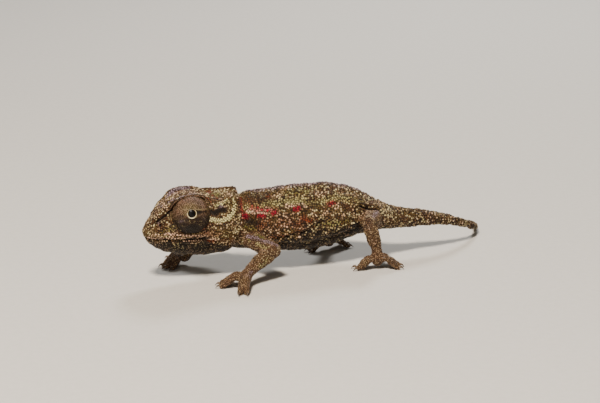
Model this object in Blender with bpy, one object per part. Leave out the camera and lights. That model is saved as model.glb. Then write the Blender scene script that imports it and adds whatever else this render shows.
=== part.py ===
"""A pygmy chameleon that stands on level ground, life size, in its named parts.

The animal faces -X, its left side faces -Y and it stands on Z = 0. Sizes are in
millimetres, counted back from the snout, and one last step scales them to metres.
Each part is closed, and neighbours keep a gap so that they meet without touching.
"""

import math

import bmesh
import bpy
import numpy as np
from mathutils import Matrix, Vector

MM = 0.001
GAP = 0.3

# Fineness of the fused flesh, before it is thinned to flat facets
BODY_VOXEL = 0.26
HEAD_VOXEL = 0.17
LIMB_VOXEL = 0.2
RING = 40
STEP = 0.35

# Trunk, as (back from the snout, height of the back, height of the belly, half width)
TRUNK = (
    (11.0, 11.2, 5.6, 1.9),
    (14.0, 12.4, 4.3, 2.8),
    (17.0, 13.1, 3.7, 3.2),
    (21.0, 13.3, 3.1, 3.8),
    (26.0, 13.4, 2.6, 4.1),
    (31.0, 13.1, 3.0, 4.0),
    (35.0, 11.9, 4.1, 3.5),
    (38.5, 9.9, 4.5, 2.8),
    (42.0, 8.1, 4.4, 2.0),
    (44.5, 7.4, 4.5, 1.5),
)
WIDEST_AT = 0.44
BACK_RIDGE = 0.34
BELLY_KEEL = 0.12

# Tail, as (back from the snout, to the right, height, radius)
TAIL = (
    (39.5, 0.0, 6.7, 1.95),
    (43.0, 0.1, 6.1, 1.75),
    (47.0, 0.3, 5.6, 1.4),
    (51.0, 0.9, 4.8, 1.0),
    (54.6, 2.2, 3.5, 0.76),
    (57.5, 4.2, 2.1, 0.65),
    (59.5, 6.8, 1.1, 0.57),
    (60.4, 9.5, 0.5, 0.5),
    (60.2, 12.0, 0.3, 0.42),
)
TAIL_NARROWNESS = 0.88

# Head, as (back from the snout, top, middle, underside, half width, top share of the width)
HEAD = (
    (0.0, 8.6, 8.1, 7.0, 0.85, 0.80),
    (1.0, 10.0, 8.3, 6.1, 1.55, 0.80),
    (2.5, 11.7, 8.8, 5.1, 2.15, 0.78),
    (4.5, 13.2, 9.4, 4.3, 2.75, 0.76),
    (6.8, 14.1, 9.8, 3.9, 3.15, 0.78),
    (9.0, 14.1, 9.6, 3.75, 3.45, 0.74),
    (11.5, 13.8, 9.0, 3.7, 3.75, 0.66),
    (13.6, 13.7, 8.8, 4.0, 3.6, 0.58),
    (15.0, 13.6, 9.0, 5.0, 2.9, 0.50),
    (15.8, 13.2, 9.4, 6.4, 1.9, 0.45),
)
TOP_SQUARENESS = 3.1
JAW_ROUNDNESS = 2.1
SNOUT_ROUND = 1.1
NAPE_ROUND = 0.9

# Ridge from the snout over each eye, as (x, to the side, height, radius)
BROW = (
    (1.9, 1.1, 10.6, 0.35),
    (4.3, 1.9, 12.6, 0.5),
    (6.2, 2.25, 13.5, 0.62),
    (8.2, 2.3, 13.6, 0.62),
    (10.2, 2.45, 12.95, 0.5),
    (11.8, 2.2, 12.5, 0.35),
)

# Raised and sunken lines of the head, as (line on one side, half width, height)
TEMPLE = ((10.2, 3.1, 12.4), (11.8, 2.9, 12.5), (13.6, 2.4, 13.1), (15.1, 1.2, 13.7))
CHEEK_BAND = ((9.9, 3.6, 9.3), (11.2, 3.8, 8.8), (13.0, 3.7, 9.1), (14.4, 3.2, 10.4), (14.9, 2.4, 12.2))
CROWN = ((9.6, 0.0, 14.0), (12.5, 0.0, 13.9), (15.5, 0.0, 13.7))
NAPE_EDGE = ((15.3, 1.7, 12.6), (15.5, 2.3, 10.5), (14.9, 3.0, 8.2), (13.7, 3.3, 6.4))
CANTHUS_GROOVE = ((2.2, 1.9, 10.0), (3.4, 2.5, 10.7), (4.6, 2.9, 11.7))
MOUTH = ((-1.0, 7.55), (0.6, 7.45), (3.0, 7.25), (7.0, 7.0), (10.0, 6.85), (11.8, 6.6), (12.8, 6.0))
GULLET = ((13.4, 4.8), (13.8, 3.4), (14.0, 1.5))
LIP_OFFSET = 0.42
HEAD_LINES = (
    (TEMPLE, 0.5, 0.38),
    (CHEEK_BAND, 0.6, 0.34),
    (CROWN, 0.45, 0.4),
    (NAPE_EDGE, 0.5, 0.22),
    (CANTHUS_GROOVE, 0.45, -0.28),
)
# Rounded swellings and hollows of the head, as (place on one side, radius, height)
HEAD_SPOTS = (
    ((12.0, 3.9, 10.7), 1.15, -0.42),
    ((7.5, 0.0, 14.3), 1.9, -0.4),
    ((12.9, 3.2, 5.2), 1.7, 0.3),
    ((9.0, 0.0, 3.6), 3.0, 0.2),
    ((1.9, 1.7, 9.25), 0.36, -0.45),
)

# Eye turrets, which look towards the front and a little up
EYE_PLACE = Vector((7.05, -2.75, 11.1))
EYE_GAZE = Vector((-0.22, -0.93, 0.27)).normalized()
ORBIT_FACING = Vector((-0.1, -0.98, -0.05)).normalized()
LID_RADIUS = 2.8
LID_SEAT = 0.15
BALL_RADIUS = 1.6
BALL_FORWARD = 0.45
CORNEA_RADIUS = 0.5
CORNEA_FORWARD = 2.3
LID_NOSE_RADIUS = 1.0
LID_NOSE_FORWARD = 2.05
LID_OPENING = 0.74

# Folds of the trunk, as (line on one side, half width, height)
TRUNK_LINES = (
    (((17.5, 3.6, 6.3), (21.5, 4.0, 5.4), (27.0, 4.2, 5.3), (32.0, 3.9, 6.4), (35.0, 3.4, 7.4)), 0.6, 0.22),
    (((18.5, 3.5, 4.9), (22.5, 3.7, 4.0), (28.0, 3.8, 4.1), (33.0, 3.4, 5.5)), 0.55, -0.25),
    (((34.0, 3.4, 10.6), (36.5, 3.1, 10.3), (39.5, 2.4, 9.3)), 0.6, 0.3),
    (((16.6, 3.0, 12.0), (16.9, 3.3, 9.5), (16.6, 3.3, 7.6)), 0.6, -0.22),
)

# Legs, as joints with (place on its own side, radius)
ARM_LEFT = (((16.4, -2.2, 5.9), 1.35), ((19.2, -6.0, 4.85), 1.35), ((14.8, -7.5, 2.4), 0.95))
ARM_RIGHT = (((16.4, 2.2, 5.9), 1.35), ((14.2, 6.2, 5.0), 1.35), ((9.8, 6.6, 2.4), 0.95))
LEG_LEFT = (((37.6, -1.5, 7.1), 1.8), ((35.5, -5.2, 7.5), 1.25), ((36.7, -5.8, 2.7), 0.95))
LEG_RIGHT = (((37.6, 1.5, 7.1), 1.8), ((33.0, 5.1, 7.2), 1.25), ((33.3, 6.0, 2.7), 0.95))
UPPER_BELLY = 1.03
LOWER_BELLY = 1.04
PALM_RADIUS = 1.15
PALM_HEIGHT = 1.5
TOE_RADIUS = 0.56
TOE_TIP = 0.43
TOE_PITCH = 0.66
TOE_SPREAD = 0.5
TOE_ARCH = 0.55
CLAW_LENGTH = 0.95
CLAW_RADIUS = 0.27
CLAW_SIDES = 6
# Feet, as (leg, palm, bundles), a bundle being (heading in degrees, toes, length)
FEET = {
    "hand_left": (ARM_LEFT, (14.0, -7.9), ((150, 3, 3.8), (248, 2, 3.9))),
    "hand_right": (ARM_RIGHT, (8.7, 6.6), ((203, 3, 3.7), (110, 2, 3.5))),
    "foot_left": (LEG_LEFT, (36.7, -6.0), ((174, 2, 3.3), (350, 3, 3.4))),
    "foot_right": (LEG_RIGHT, (33.0, 6.2), ((190, 2, 3.3), (12, 3, 3.4))),
}

LEG_NAMES = {
    "hand_left": ("upper_arm_left", "forearm_left"),
    "hand_right": ("upper_arm_right", "forearm_right"),
    "foot_left": ("thigh_left", "shin_left"),
    "foot_right": ("thigh_right", "shin_right"),
}

# Knobs along the back, largest over the shoulders
KNOB_FROM, KNOB_TO = 17.6, 50.0
KNOB_PITCH = 1.32
KNOB_RADIUS, KNOB_HEIGHT = 0.5, 0.34
KNOB_SIDES = 5
BROW_KNOBS = 8

# Cuts, as (place, direction of the cut's axis, radius)
NECK_CUT = ((17.7, 0.0, 9.0), (1.0, 0.0, -0.22), 12.0)
TAIL_CUTS = (
    ((42.2, 0.1, 6.2), (1.0, 0.0, -0.1), 5.0),
    ((50.6, 0.8, 4.9), (1.0, 0.26, -0.26), 3.5),
    ((57.0, 3.8, 2.4), (0.72, 0.55, -0.38), 2.5),
)

# A place near the middle of each part of the head and the trunk, once they are cut
HEAD_SEEDS = {"head": (9.0, 0.0, 11.5), "lower_jaw": (7.5, 0.0, 5.2)}
TRUNK_SEEDS = {
    "neck": (15.5, 0.0, 8.5),
    "torso": (29.0, 0.0, 8.5),
    "tail_base": (46.5, 0.3, 5.6),
    "tail_middle": (54.0, 2.0, 3.7),
    "tail_tip": (59.8, 8.5, 0.8),
}

# Triangles left in each part once it is thinned
FINENESS = {
    "head": 3000,
    "trunk": 2300,
    "limb": 300,
    "foot": 520,
    "grown": 1000,
}

COLOURS = {
    "skin": ((0.22, 0.155, 0.095, 1.0), 0.62),
    "lid": ((0.17, 0.13, 0.085, 1.0), 0.55),
    "eye": ((0.03, 0.02, 0.012, 1.0), 0.12),
}


def along(knots, places):
    """Values of the smooth curve through (place, values...) knots at the given places."""
    knots = np.array(knots, float)
    at, value = knots[:, 0], knots[:, 1:]
    slope = np.gradient(value, at, axis=0)
    i = np.clip(np.searchsorted(at, places) - 1, 0, len(at) - 2)
    width = (at[i + 1] - at[i])[:, None]
    u = np.clip((places - at[i])[:, None] / width, 0.0, 1.0)
    start = value[i] * (1 + 2 * u) * (1 - u) ** 2 + slope[i] * width * u * (1 - u) ** 2
    end = value[i + 1] * u**2 * (3 - 2 * u) + slope[i + 1] * width * u**2 * (u - 1)
    return start + end


def new_object(name, verts, faces):
    """An object from points and faces, linked to the scene."""
    mesh = bpy.data.meshes.new(name)
    mesh.from_pydata([tuple(map(float, v)) for v in verts], [], faces)
    mesh.update()
    obj = bpy.data.objects.new(name, mesh)
    bpy.context.scene.collection.objects.link(obj)
    return obj


def discard(*objects):
    """Takes helpers out of the scene with their meshes."""
    for obj in objects:
        mesh = obj.data
        bpy.data.objects.remove(obj)
        bpy.data.meshes.remove(mesh)


def outward(obj):
    """Turns every face of a closed mesh outwards."""
    bm = bmesh.new()
    bm.from_mesh(obj.data)
    bmesh.ops.recalc_face_normals(bm, faces=bm.faces)
    bm.to_mesh(obj.data)
    bm.free()
    return obj


def skinned(name, rings):
    """A closed body through rings of points, with a fan at each end."""
    count, around = len(rings), len(rings[0])
    verts = [v for ring in rings for v in ring]
    verts += [np.mean(rings[0], axis=0), np.mean(rings[-1], axis=0)]
    faces = []
    for i in range(around):
        j = (i + 1) % around
        for k in range(count - 1):
            a, b = k * around, (k + 1) * around
            faces.append((a + i, a + j, b + j, b + i))
        faces.append((j, i, count * around))
        last = (count - 1) * around
        faces.append((last + i, last + j, count * around + 1))
    return outward(new_object(name, verts, faces))


def round_ends(distance, length, start, end):
    """How far a body's section has opened, from 0 at a rounded end to 1 past it."""
    front = np.clip(distance / start, 0.0, 1.0)
    back = np.clip((length - distance) / end, 0.0, 1.0)
    return np.sqrt(1 - (1 - front) ** 2) * np.sqrt(1 - (1 - back) ** 2)


def tube(name, knots, narrowness=1.0):
    """A tapering round body through (x, y, z, radius) knots, closed by round ends."""
    knots = np.array(knots, float)
    run = np.concatenate([[0], np.cumsum(np.linalg.norm(np.diff(knots[:, :3], axis=0), axis=1))])
    first, last = knots[0, 3], knots[-1, 3]
    lead = np.array([knots[1, :3] - knots[0, :3], knots[-1, :3] - knots[-2, :3]])
    lead /= np.linalg.norm(lead, axis=1)[:, None]
    steps = max(8, int(run[-1] / STEP))
    middle = along(np.column_stack([run, knots]), np.linspace(0, run[-1], steps))
    caps = np.linspace(0.05, math.pi / 2, 6)[:-1, None]
    start = np.hstack([knots[0, :3] - lead[0] * first * np.cos(caps), first * np.sin(caps)])
    end = np.hstack([knots[-1, :3] + lead[1] * last * np.cos(caps), last * np.sin(caps)])
    rows = np.concatenate([start, middle, end[::-1]])
    heading = np.gradient(rows[:, :3], axis=0)
    angle = np.linspace(0, 2 * math.pi, RING, endpoint=False)
    rings = []
    for (x, y, z, radius), way in zip(rows, heading):
        way = Vector(way).normalized()
        side = way.cross(Vector((0, 0, 1)))
        side = side.normalized() if side.length > 0.2 else Vector((0, 1, 0))
        lift = side.cross(way).normalized()
        across = np.outer(np.cos(angle), side) * narrowness + np.outer(np.sin(angle), lift)
        rings.append(np.array((x, y, z)) + radius * across)
    return skinned(name, rings)


def ball(name, place, radii, segments=32):
    """An ellipsoid."""
    bm = bmesh.new()
    bmesh.ops.create_uvsphere(bm, u_segments=segments, v_segments=segments // 2, radius=1.0)
    fitted = Matrix.Translation(place) @ Matrix.Diagonal((*radii, 1))
    bmesh.ops.transform(bm, matrix=fitted, verts=bm.verts)
    mesh = bpy.data.meshes.new(name)
    bm.to_mesh(mesh)
    bm.free()
    obj = bpy.data.objects.new(name, mesh)
    bpy.context.scene.collection.objects.link(obj)
    return obj


def cone(name, base, tip, radius, sides, tip_radius=0.06):
    """A tapering spike or a plain rod from base to tip."""
    axis = Vector(tip) - Vector(base)
    bm = bmesh.new()
    bmesh.ops.create_cone(
        bm, cap_ends=True, segments=sides, radius1=radius, radius2=tip_radius, depth=axis.length
    )
    turn = axis.to_track_quat("Z", "Y").to_matrix().to_4x4()
    bmesh.ops.transform(bm, matrix=Matrix.Translation(Vector(base) + axis / 2) @ turn, verts=bm.verts)
    mesh = bpy.data.meshes.new(name)
    bm.to_mesh(mesh)
    bm.free()
    obj = bpy.data.objects.new(name, mesh)
    bpy.context.scene.collection.objects.link(obj)
    return obj


def disc(place, axis, radius, thickness=GAP, sides=24):
    """A thin round cutter across a body."""
    half = Vector(axis).normalized() * thickness / 2
    place = Vector(place)
    return cone("cut", place - half, place + half, radius, sides, radius)


def block(name, low, high):
    """A box between two corners."""
    (x0, y0, z0), (x1, y1, z1) = low, high
    verts = [(x, y, z) for x in (x0, x1) for y in (y0, y1) for z in (z0, z1)]
    faces = [(0, 1, 3, 2), (4, 6, 7, 5), (0, 4, 5, 1), (2, 3, 7, 6), (0, 2, 6, 4), (1, 5, 7, 3)]
    return outward(new_object(name, verts, faces))


def applied(obj):
    """Bakes an object's modifiers into its mesh."""
    graph = bpy.context.evaluated_depsgraph_get()
    baked = bpy.data.meshes.new_from_object(obj.evaluated_get(graph))
    old = obj.data
    obj.modifiers.clear()
    obj.data = baked
    bpy.data.meshes.remove(old)
    return obj


def copied(obj, name):
    """A copy with a mesh of its own."""
    twin = bpy.data.objects.new(name, obj.data.copy())
    bpy.context.scene.collection.objects.link(twin)
    return twin


def fused(name, pieces, voxel, softening):
    """One smooth closed body in place of pieces that overlap."""
    bm = bmesh.new()
    for piece in pieces:
        bm.from_mesh(piece.data)
    mesh = bpy.data.meshes.new(name)
    bm.to_mesh(mesh)
    bm.free()
    discard(*pieces)
    obj = bpy.data.objects.new(name, mesh)
    bpy.context.scene.collection.objects.link(obj)
    remesh = obj.modifiers.new("one body", "REMESH")
    remesh.mode = "VOXEL"
    remesh.voxel_size = voxel
    soften = obj.modifiers.new("soften", "SMOOTH")
    soften.iterations = softening
    return applied(obj)


def thinned(obj, triangles):
    """Fewer, larger facets, smaller where the shape bends more."""
    count = sum(len(face.vertices) - 2 for face in obj.data.polygons)
    thin = obj.modifiers.new("thin", "DECIMATE")
    thin.ratio = min(1.0, triangles / count)
    thin.use_collapse_triangulate = True
    return applied(obj)


def main_body(obj):
    """Keeps the largest closed surface and drops scraps."""
    name = obj.name
    bodies = loose_bodies(obj)
    bodies.sort(key=lambda body: len(body.data.vertices))
    keep = bodies.pop()
    discard(obj, *bodies)
    keep.name = name
    return keep


def loose_bodies(obj):
    """Every connected body of a mesh as an object of its own."""
    bm = bmesh.new()
    bm.from_mesh(obj.data)
    bm.verts.ensure_lookup_table()
    seen, bodies = set(), []
    for start in bm.verts:
        if start.index in seen:
            continue
        group, stack = [], [start]
        seen.add(start.index)
        while stack:
            vert = stack.pop()
            group.append(vert)
            for edge in vert.link_edges:
                other = edge.other_vert(vert)
                if other.index not in seen:
                    seen.add(other.index)
                    stack.append(other)
        number = {vert.index: i for i, vert in enumerate(group)}
        faces = {face for vert in group for face in vert.link_faces}
        faces = sorted(faces, key=lambda face: face.index)
        rows = [tuple(number[v.index] for v in face.verts) for face in faces]
        bodies.append(new_object("body", [v.co for v in group], rows))
    bm.free()
    return bodies


def combined(obj, operation, others, solver="MANIFOLD"):
    """Joins or cuts a body with others, which are used up."""
    group = bpy.data.collections.new("operands")
    bpy.context.scene.collection.children.link(group)
    for other in others:
        group.objects.link(other)
    step = obj.modifiers.new(operation.lower(), "BOOLEAN")
    step.operation = operation
    step.solver = solver
    step.operand_type = "COLLECTION"
    step.collection = group
    obj = applied(obj)
    discard(*others)
    bpy.data.collections.remove(group)
    return obj


def grown(obj, name, distance=GAP):
    """A copy that stands proud of the body all round, to cut a neighbour back with."""
    twin = copied(obj, name)
    mesh = twin.data
    normals = np.zeros(len(mesh.vertices) * 3, np.float32)
    mesh.vertex_normals.foreach_get("vector", normals)
    points = points_of(twin) + normals.reshape(-1, 3) * distance
    mesh.vertices.foreach_set("co", points.astype(np.float32).ravel())
    mesh.update()
    return thinned(fused(name, [twin], BODY_VOXEL, 1), FINENESS["grown"])


def points_of(obj):
    """The points of a mesh as rows."""
    points = np.zeros(len(obj.data.vertices) * 3, np.float32)
    obj.data.vertices.foreach_get("co", points)
    return points.reshape(-1, 3).astype(float)


def distance_to_line(points, line):
    """Each point's distance from a line of straight runs."""
    line = np.array(line, float)
    best = np.full(len(points), 1e9)
    for a, b in zip(line[:-1], line[1:]):
        run = b - a
        share = np.clip(((points - a) @ run) / (run @ run), 0, 1)
        best = np.minimum(best, np.linalg.norm(points - a - share[:, None] * run, axis=1))
    return best


def sculpted(obj, lines, spots=()):
    """Raises or sinks the surface beside each line and spot, alike on both sides."""
    mesh = obj.data
    normals = np.zeros(len(mesh.vertices) * 3, np.float32)
    mesh.vertex_normals.foreach_get("vector", normals)
    points = points_of(obj)
    half = points * (1, 0, 1) + np.abs(points) * (0, 1, 0)
    rise = np.zeros(len(points))
    for line, width, height in lines:
        rise += height * np.exp(-((distance_to_line(half, line) / width) ** 2))
    for place, radius, height in spots:
        rise += height * np.exp(-((np.linalg.norm(half - place, axis=1) / radius) ** 2))
    points += normals.reshape(-1, 3) * rise[:, None]
    mesh.vertices.foreach_set("co", points.astype(np.float32).ravel())
    mesh.update()
    return obj


def trunk():
    """Neck, torso and tail as one body, narrow along the back and the belly."""
    places = np.arange(TRUNK[0][0], TRUNK[-1][0], STEP)
    length = TRUNK[-1][0] - TRUNK[0][0]
    opened = round_ends(places - TRUNK[0][0] + 0.05, length + 0.1, 1.0, 1.5)
    angle = np.linspace(0, 2 * math.pi, RING, endpoint=False)
    up, side = np.cos(angle), np.sin(angle)
    rings = []
    for x, (top, bottom, half), open_ in zip(places, along(TRUNK, places), opened):
        middle = bottom + (top - bottom) * WIDEST_AT
        reach = np.where(up > 0, top - middle, middle - bottom)
        narrow = 1 - np.where(up > 0, BACK_RIDGE, BELLY_KEEL) * up**2
        across = half * side * narrow * open_
        rings.append(np.column_stack([np.full(RING, x), across, middle + reach * up * open_]))
    tail = tube("tail", TAIL, TAIL_NARROWNESS)
    body = fused("trunk", [skinned("torso", rings), tail], BODY_VOXEL, 6)
    return sculpted(body, TRUNK_LINES)


def lip_lines():
    """The swollen edge of each lip, as lines that follow the mouth."""
    lines = []
    for offset, height in ((LIP_OFFSET, 0.2), (-LIP_OFFSET, 0.14)):
        line = []
        for x, z in MOUTH[1:-1]:
            half = along([row[:1] + row[4:5] for row in HEAD], np.array([max(x, 0.3)]))[0, 0]
            line.append((x, half * 0.97, z + offset))
        lines.append((tuple(line), 0.3, height))
    return tuple(lines)


def head():
    """The head with its casque, ridges, lips and nostrils, jaw and all."""
    length = HEAD[-1][0]
    places = length * (1 - np.cos(np.linspace(0.03, math.pi - 0.03, 64))) / 2
    opened = round_ends(places, length, SNOUT_ROUND, NAPE_ROUND)
    angle = np.linspace(0, 2 * math.pi, RING * 2, endpoint=False)
    up, side = np.cos(angle), np.sin(angle)
    rings = []
    for x, row, open_ in zip(places, along(HEAD, places), opened):
        top, middle, bottom, half, share = row
        power = np.where(up > 0, 2 / TOP_SQUARENESS, 2 / JAW_ROUNDNESS)
        lift = np.sign(up) * np.abs(up) ** power
        width = np.sign(side) * np.abs(side) ** power
        reach = np.where(up > 0, top - middle, middle - bottom)
        taper = 1 - (1 - share) * np.clip(lift, 0, 1) ** 1.5
        across = half * width * taper * open_
        rings.append(np.column_stack([np.full(len(up), x), across, middle + reach * lift * open_]))
    brows = [tube("brow", [(x, side * y, z, radius) for x, y, z, radius in BROW]) for side in (-1, 1)]
    body = fused("head", [skinned("skull", rings)] + brows, HEAD_VOXEL, 4)
    return sculpted(body, HEAD_LINES + lip_lines(), HEAD_SPOTS)


def mouth_cutter():
    """A thin curved sheet along the mouth and down behind the lower jaw."""
    line = np.array(MOUTH + GULLET)
    run = np.gradient(line, axis=0)
    run /= np.linalg.norm(run, axis=1)[:, None]
    side = np.column_stack([-run[:, 1], run[:, 0]]) * GAP / 2
    outline = np.concatenate([line + side, (line - side)[::-1]])
    count, wide = len(outline), 9.0
    verts = [(x, y, z) for y in (-wide, wide) for x, z in outline]
    faces = [(i, (i + 1) % count, (i + 1) % count + count, i + count) for i in range(count)]
    half = count // 2
    for i in range(half - 1):
        j = count - 1 - i
        faces.append((i, i + 1, j - 1, j))
        faces.append((i + count, j + count, j - 1 + count, i + 1 + count))
    return outward(new_object("mouth", verts, faces))


def half_space(place, facing, size=9.0):
    """A large block on the outer side of a plane."""
    bm = bmesh.new()
    bmesh.ops.create_cube(bm, size=size)
    facing = Vector(facing)
    turn = facing.to_track_quat("Z", "Y").to_matrix().to_4x4()
    move = Matrix.Translation(Vector(place) + facing * size / 2) @ turn
    bmesh.ops.transform(bm, matrix=move, verts=bm.verts)
    mesh = bpy.data.meshes.new("side")
    bm.to_mesh(mesh)
    bm.free()
    obj = bpy.data.objects.new("side", mesh)
    bpy.context.scene.collection.objects.link(obj)
    return obj


def mirrored(vector, side):
    """A left-side vector, or its mirror image for the right side."""
    return Vector((vector[0], vector[1] * (1 if side == "left" else -1), vector[2]))


def socket_cutters(side):
    """What the eye and its lids take out of the head, with the gap round them."""
    place, facing = mirrored(EYE_PLACE, side), mirrored(ORBIT_FACING, side)
    gaze = mirrored(EYE_GAZE, side)
    wide = LID_RADIUS + GAP
    rim = ball("rim", place, (wide,) * 3, 26)
    rim = combined(rim, "INTERSECT", [half_space(place + facing * (LID_SEAT - GAP), facing)])
    inner = BALL_RADIUS + GAP
    return [rim, ball("inner", place + gaze * BALL_FORWARD, (inner,) * 3, 16)]


def eyelids(side):
    """The domed lids, fused but for a small round opening over the eyeball."""
    place, facing = mirrored(EYE_PLACE, side), mirrored(ORBIT_FACING, side)
    gaze = mirrored(EYE_GAZE, side)
    dome = ball("lids", place, (LID_RADIUS,) * 3, 26)
    nose = place + gaze * LID_NOSE_FORWARD
    dome = combined(dome, "UNION", [ball("nose", nose, (LID_NOSE_RADIUS,) * 3, 16)])
    dome = combined(dome, "INTERSECT", [half_space(place + facing * LID_SEAT, facing)])
    eye_room = ball("room", place + gaze * BALL_FORWARD, (BALL_RADIUS + GAP,) * 3, 16)
    way_out = (place + gaze * 0.5, place + gaze * 4.2)
    opening = cone("opening", *way_out, LID_OPENING * 0.9, 16, LID_OPENING * 1.25)
    dome = combined(dome, "DIFFERENCE", [eye_room])
    dome = combined(dome, "DIFFERENCE", [opening])
    dome.name = "lids_" + side
    return main_body(dome)


def eyeball(side):
    """The eyeball, whose clear front fills the lids' opening."""
    place, gaze = mirrored(EYE_PLACE, side), mirrored(EYE_GAZE, side)
    eye = ball("eye_" + side, place + gaze * BALL_FORWARD, (BALL_RADIUS,) * 3, 16)
    cornea = ball("cornea", place + gaze * CORNEA_FORWARD, (CORNEA_RADIUS,) * 3, 12)
    return combined(eye, "UNION", [cornea])


def between(a, b, share):
    """A point part of the way from a to b."""
    return tuple(Vector(a).lerp(Vector(b), share))


def limb(joints):
    """Upper and lower leg down to the palm, as one soft body."""
    (root, thick), (knee, middle), (ankle, thin) = joints
    thigh = (*between(root, knee, 0.5), (thick + middle) / 2 * UPPER_BELLY)
    calf = (*between(knee, ankle, 0.45), middle * 0.9 * LOWER_BELLY)
    upper = tube("upper", [(*root, thick), thigh, (*knee, middle)])
    lower = tube("lower", [(*knee, middle * 0.94), calf, (*ankle, thin)])
    return [upper, lower]


def toe_paths(palm, bundles):
    """Each toe's knots from the palm out over an arch to its tip on the ground."""
    paths = []
    for heading, toes, length in bundles:
        ahead = Vector((math.cos(math.radians(heading)), math.sin(math.radians(heading)), 0))
        beside = Vector((-ahead.y, ahead.x, 0))
        for i in range(toes):
            rank = i - (toes - 1) / 2
            reach = length * (1 - 0.09 * rank**2)
            knots = []
            for share, height, radius in (
                (0.05, PALM_HEIGHT, TOE_RADIUS * 1.1),
                (0.35, PALM_HEIGHT + TOE_ARCH * 0.55, TOE_RADIUS * 1.05),
                (0.7, PALM_HEIGHT * 0.72, TOE_RADIUS),
                (1.0, TOE_TIP * 0.55, TOE_TIP),
            ):
                drift = rank * (TOE_PITCH + TOE_SPREAD * share**2)
                spot = Vector((*palm, 0)) + ahead * reach * share + beside * drift
                knots.append((spot.x, spot.y, height, radius))
            paths.append(knots)
    return paths


def claws(paths):
    """A curved claw at each toe tip, rooted well inside the toe."""
    made = []
    for knots in paths:
        before, tip = Vector(knots[-2][:3]), Vector(knots[-1][:3])
        ahead = Vector((tip.x - before.x, tip.y - before.y, 0))
        ahead.normalize()
        root = tip - ahead * 0.1 + Vector((0, 0, 0.14))
        point = tip + ahead * (TOE_TIP + CLAW_LENGTH * 0.72)
        point.z = 0.13
        made.append(cone("claw", root, point, CLAW_RADIUS, CLAW_SIDES))
    return made


def foot(palm, ankle, bundles):
    """The palm with its two fused bundles of toes."""
    centre = (palm[0], palm[1], PALM_HEIGHT)
    pieces = [
        ball("palm", centre, (PALM_RADIUS, PALM_RADIUS, PALM_RADIUS * 0.95)),
        tube("wrist", [(*ankle, 0.95), (*between(ankle, centre, 0.5), 1.0), (*centre, 0.98)]),
    ]
    paths = toe_paths(palm, bundles)
    pieces += [tube("toe", knots) for knots in paths]
    return pieces, paths


def trimmed_by_floor(obj):
    """Cuts small level flats where a body would reach below the ground."""
    return combined(obj, "DIFFERENCE", [block("floor", (-40, -40, -20), (120, 40, 0.0))])


def whole_leg(foot_name, torso_cutter):
    """A leg from inside the trunk to its toes, cut free of the trunk and level below."""
    joints, palm, bundles = FEET[foot_name]
    pieces, paths = foot(palm, joints[-1][0], bundles)
    leg = fused("leg", limb(joints) + pieces, LIMB_VOXEL, 3)
    leg = thinned(leg, FINENESS["limb"] * 2 + FINENESS["foot"])
    leg = main_body(combined(leg, "DIFFERENCE", [torso_cutter]))
    return trimmed_by_floor(leg), paths


def leg_parts(foot_name, torso_cutter):
    """The two lengths of a leg and its foot, parted at the middle joint and the ankle."""
    joints, palm, _ = FEET[foot_name]
    (root, _), (knee, middle), (ankle, thin) = joints
    leg, paths = whole_leg(foot_name, torso_cutter)
    upper_way = (Vector(knee) - Vector(root)).normalized()
    lower_way = (Vector(ankle) - Vector(knee)).normalized()
    cuts = [
        disc(knee, upper_way + lower_way, middle * 2.2),
        disc(between(knee, ankle, 0.88), lower_way, thin * 1.9),
    ]
    leg = combined(leg, "DIFFERENCE", cuts)
    upper_name, lower_name = LEG_NAMES[foot_name]
    seeds = {
        upper_name: between(root, knee, 0.65),
        lower_name: between(knee, ankle, 0.45),
        foot_name: (*palm, PALM_HEIGHT),
    }
    parts = named_bodies(leg, seeds)
    combined(parts[-1], "UNION", claws(paths), "EXACT")
    return parts


def named_bodies(obj, seeds):
    """Splits a cut body and names each piece for the seed nearest its middle."""
    bodies = loose_bodies(obj)
    bodies.sort(key=lambda body: -len(body.data.vertices))
    discard(obj)
    kept = []
    for name, spot in seeds.items():
        nearest = min(
            bodies[: len(seeds)],
            key=lambda body: float(np.linalg.norm(points_of(body).mean(0) - np.array(spot))),
        )
        nearest.name = name
        kept.append(nearest)
    discard(*[body for body in bodies if body not in kept])
    return kept


def back_height(x):
    """Height of the back line on the middle plane, and the middle plane's own shift."""
    top = float(along(TRUNK, np.array([x]))[0, 0]) if x < TRUNK[-1][0] else 0.0
    tail = [(row[0], row[1], row[2] + row[3]) for row in TAIL]
    shift, tail_top = along(tail, np.array([x]))[0] if x > TAIL[0][0] else (0.0, 0.0)
    return max(top, float(tail_top)), float(shift)


def back_knobs():
    """Blunt knobs in a row along the spine."""
    made = []
    x = KNOB_FROM
    while x < KNOB_TO:
        height, shift = back_height(x)
        fade = 1 - 0.5 * (x - KNOB_FROM) / (KNOB_TO - KNOB_FROM)
        size = fade * (1.0 + 0.16 * math.sin(len(made) * 2.4))
        base = (x + 0.1, shift, height - 0.5)
        tip = (x - 0.05, shift, height + KNOB_HEIGHT * size - 0.12)
        made.append(cone("knob", base, tip, KNOB_RADIUS * size + 0.12, KNOB_SIDES, 0.16))
        x += KNOB_PITCH * (0.9 + 0.2 * math.sin(len(made) * 1.7) ** 2)
    return made


def brow_knobs():
    """Blunt knobs along the ridge over each eye."""
    ridge = np.column_stack([np.arange(len(BROW)), np.array(BROW)])
    spots = along(ridge, np.linspace(0.6, 3.7, BROW_KNOBS))
    made = []
    for side in (-1, 1):
        for rank, (x, y, z, radius) in enumerate(spots):
            size = 1.0 + 0.2 * math.sin(rank * 2.1)
            base = Vector((x, side * y, z + radius - 0.45))
            tip = Vector((x - 0.05, side * y, z + radius + 0.16 * size))
            made.append(cone("knob", base, tip, 0.42 * size, KNOB_SIDES, 0.2))
    return made


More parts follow.
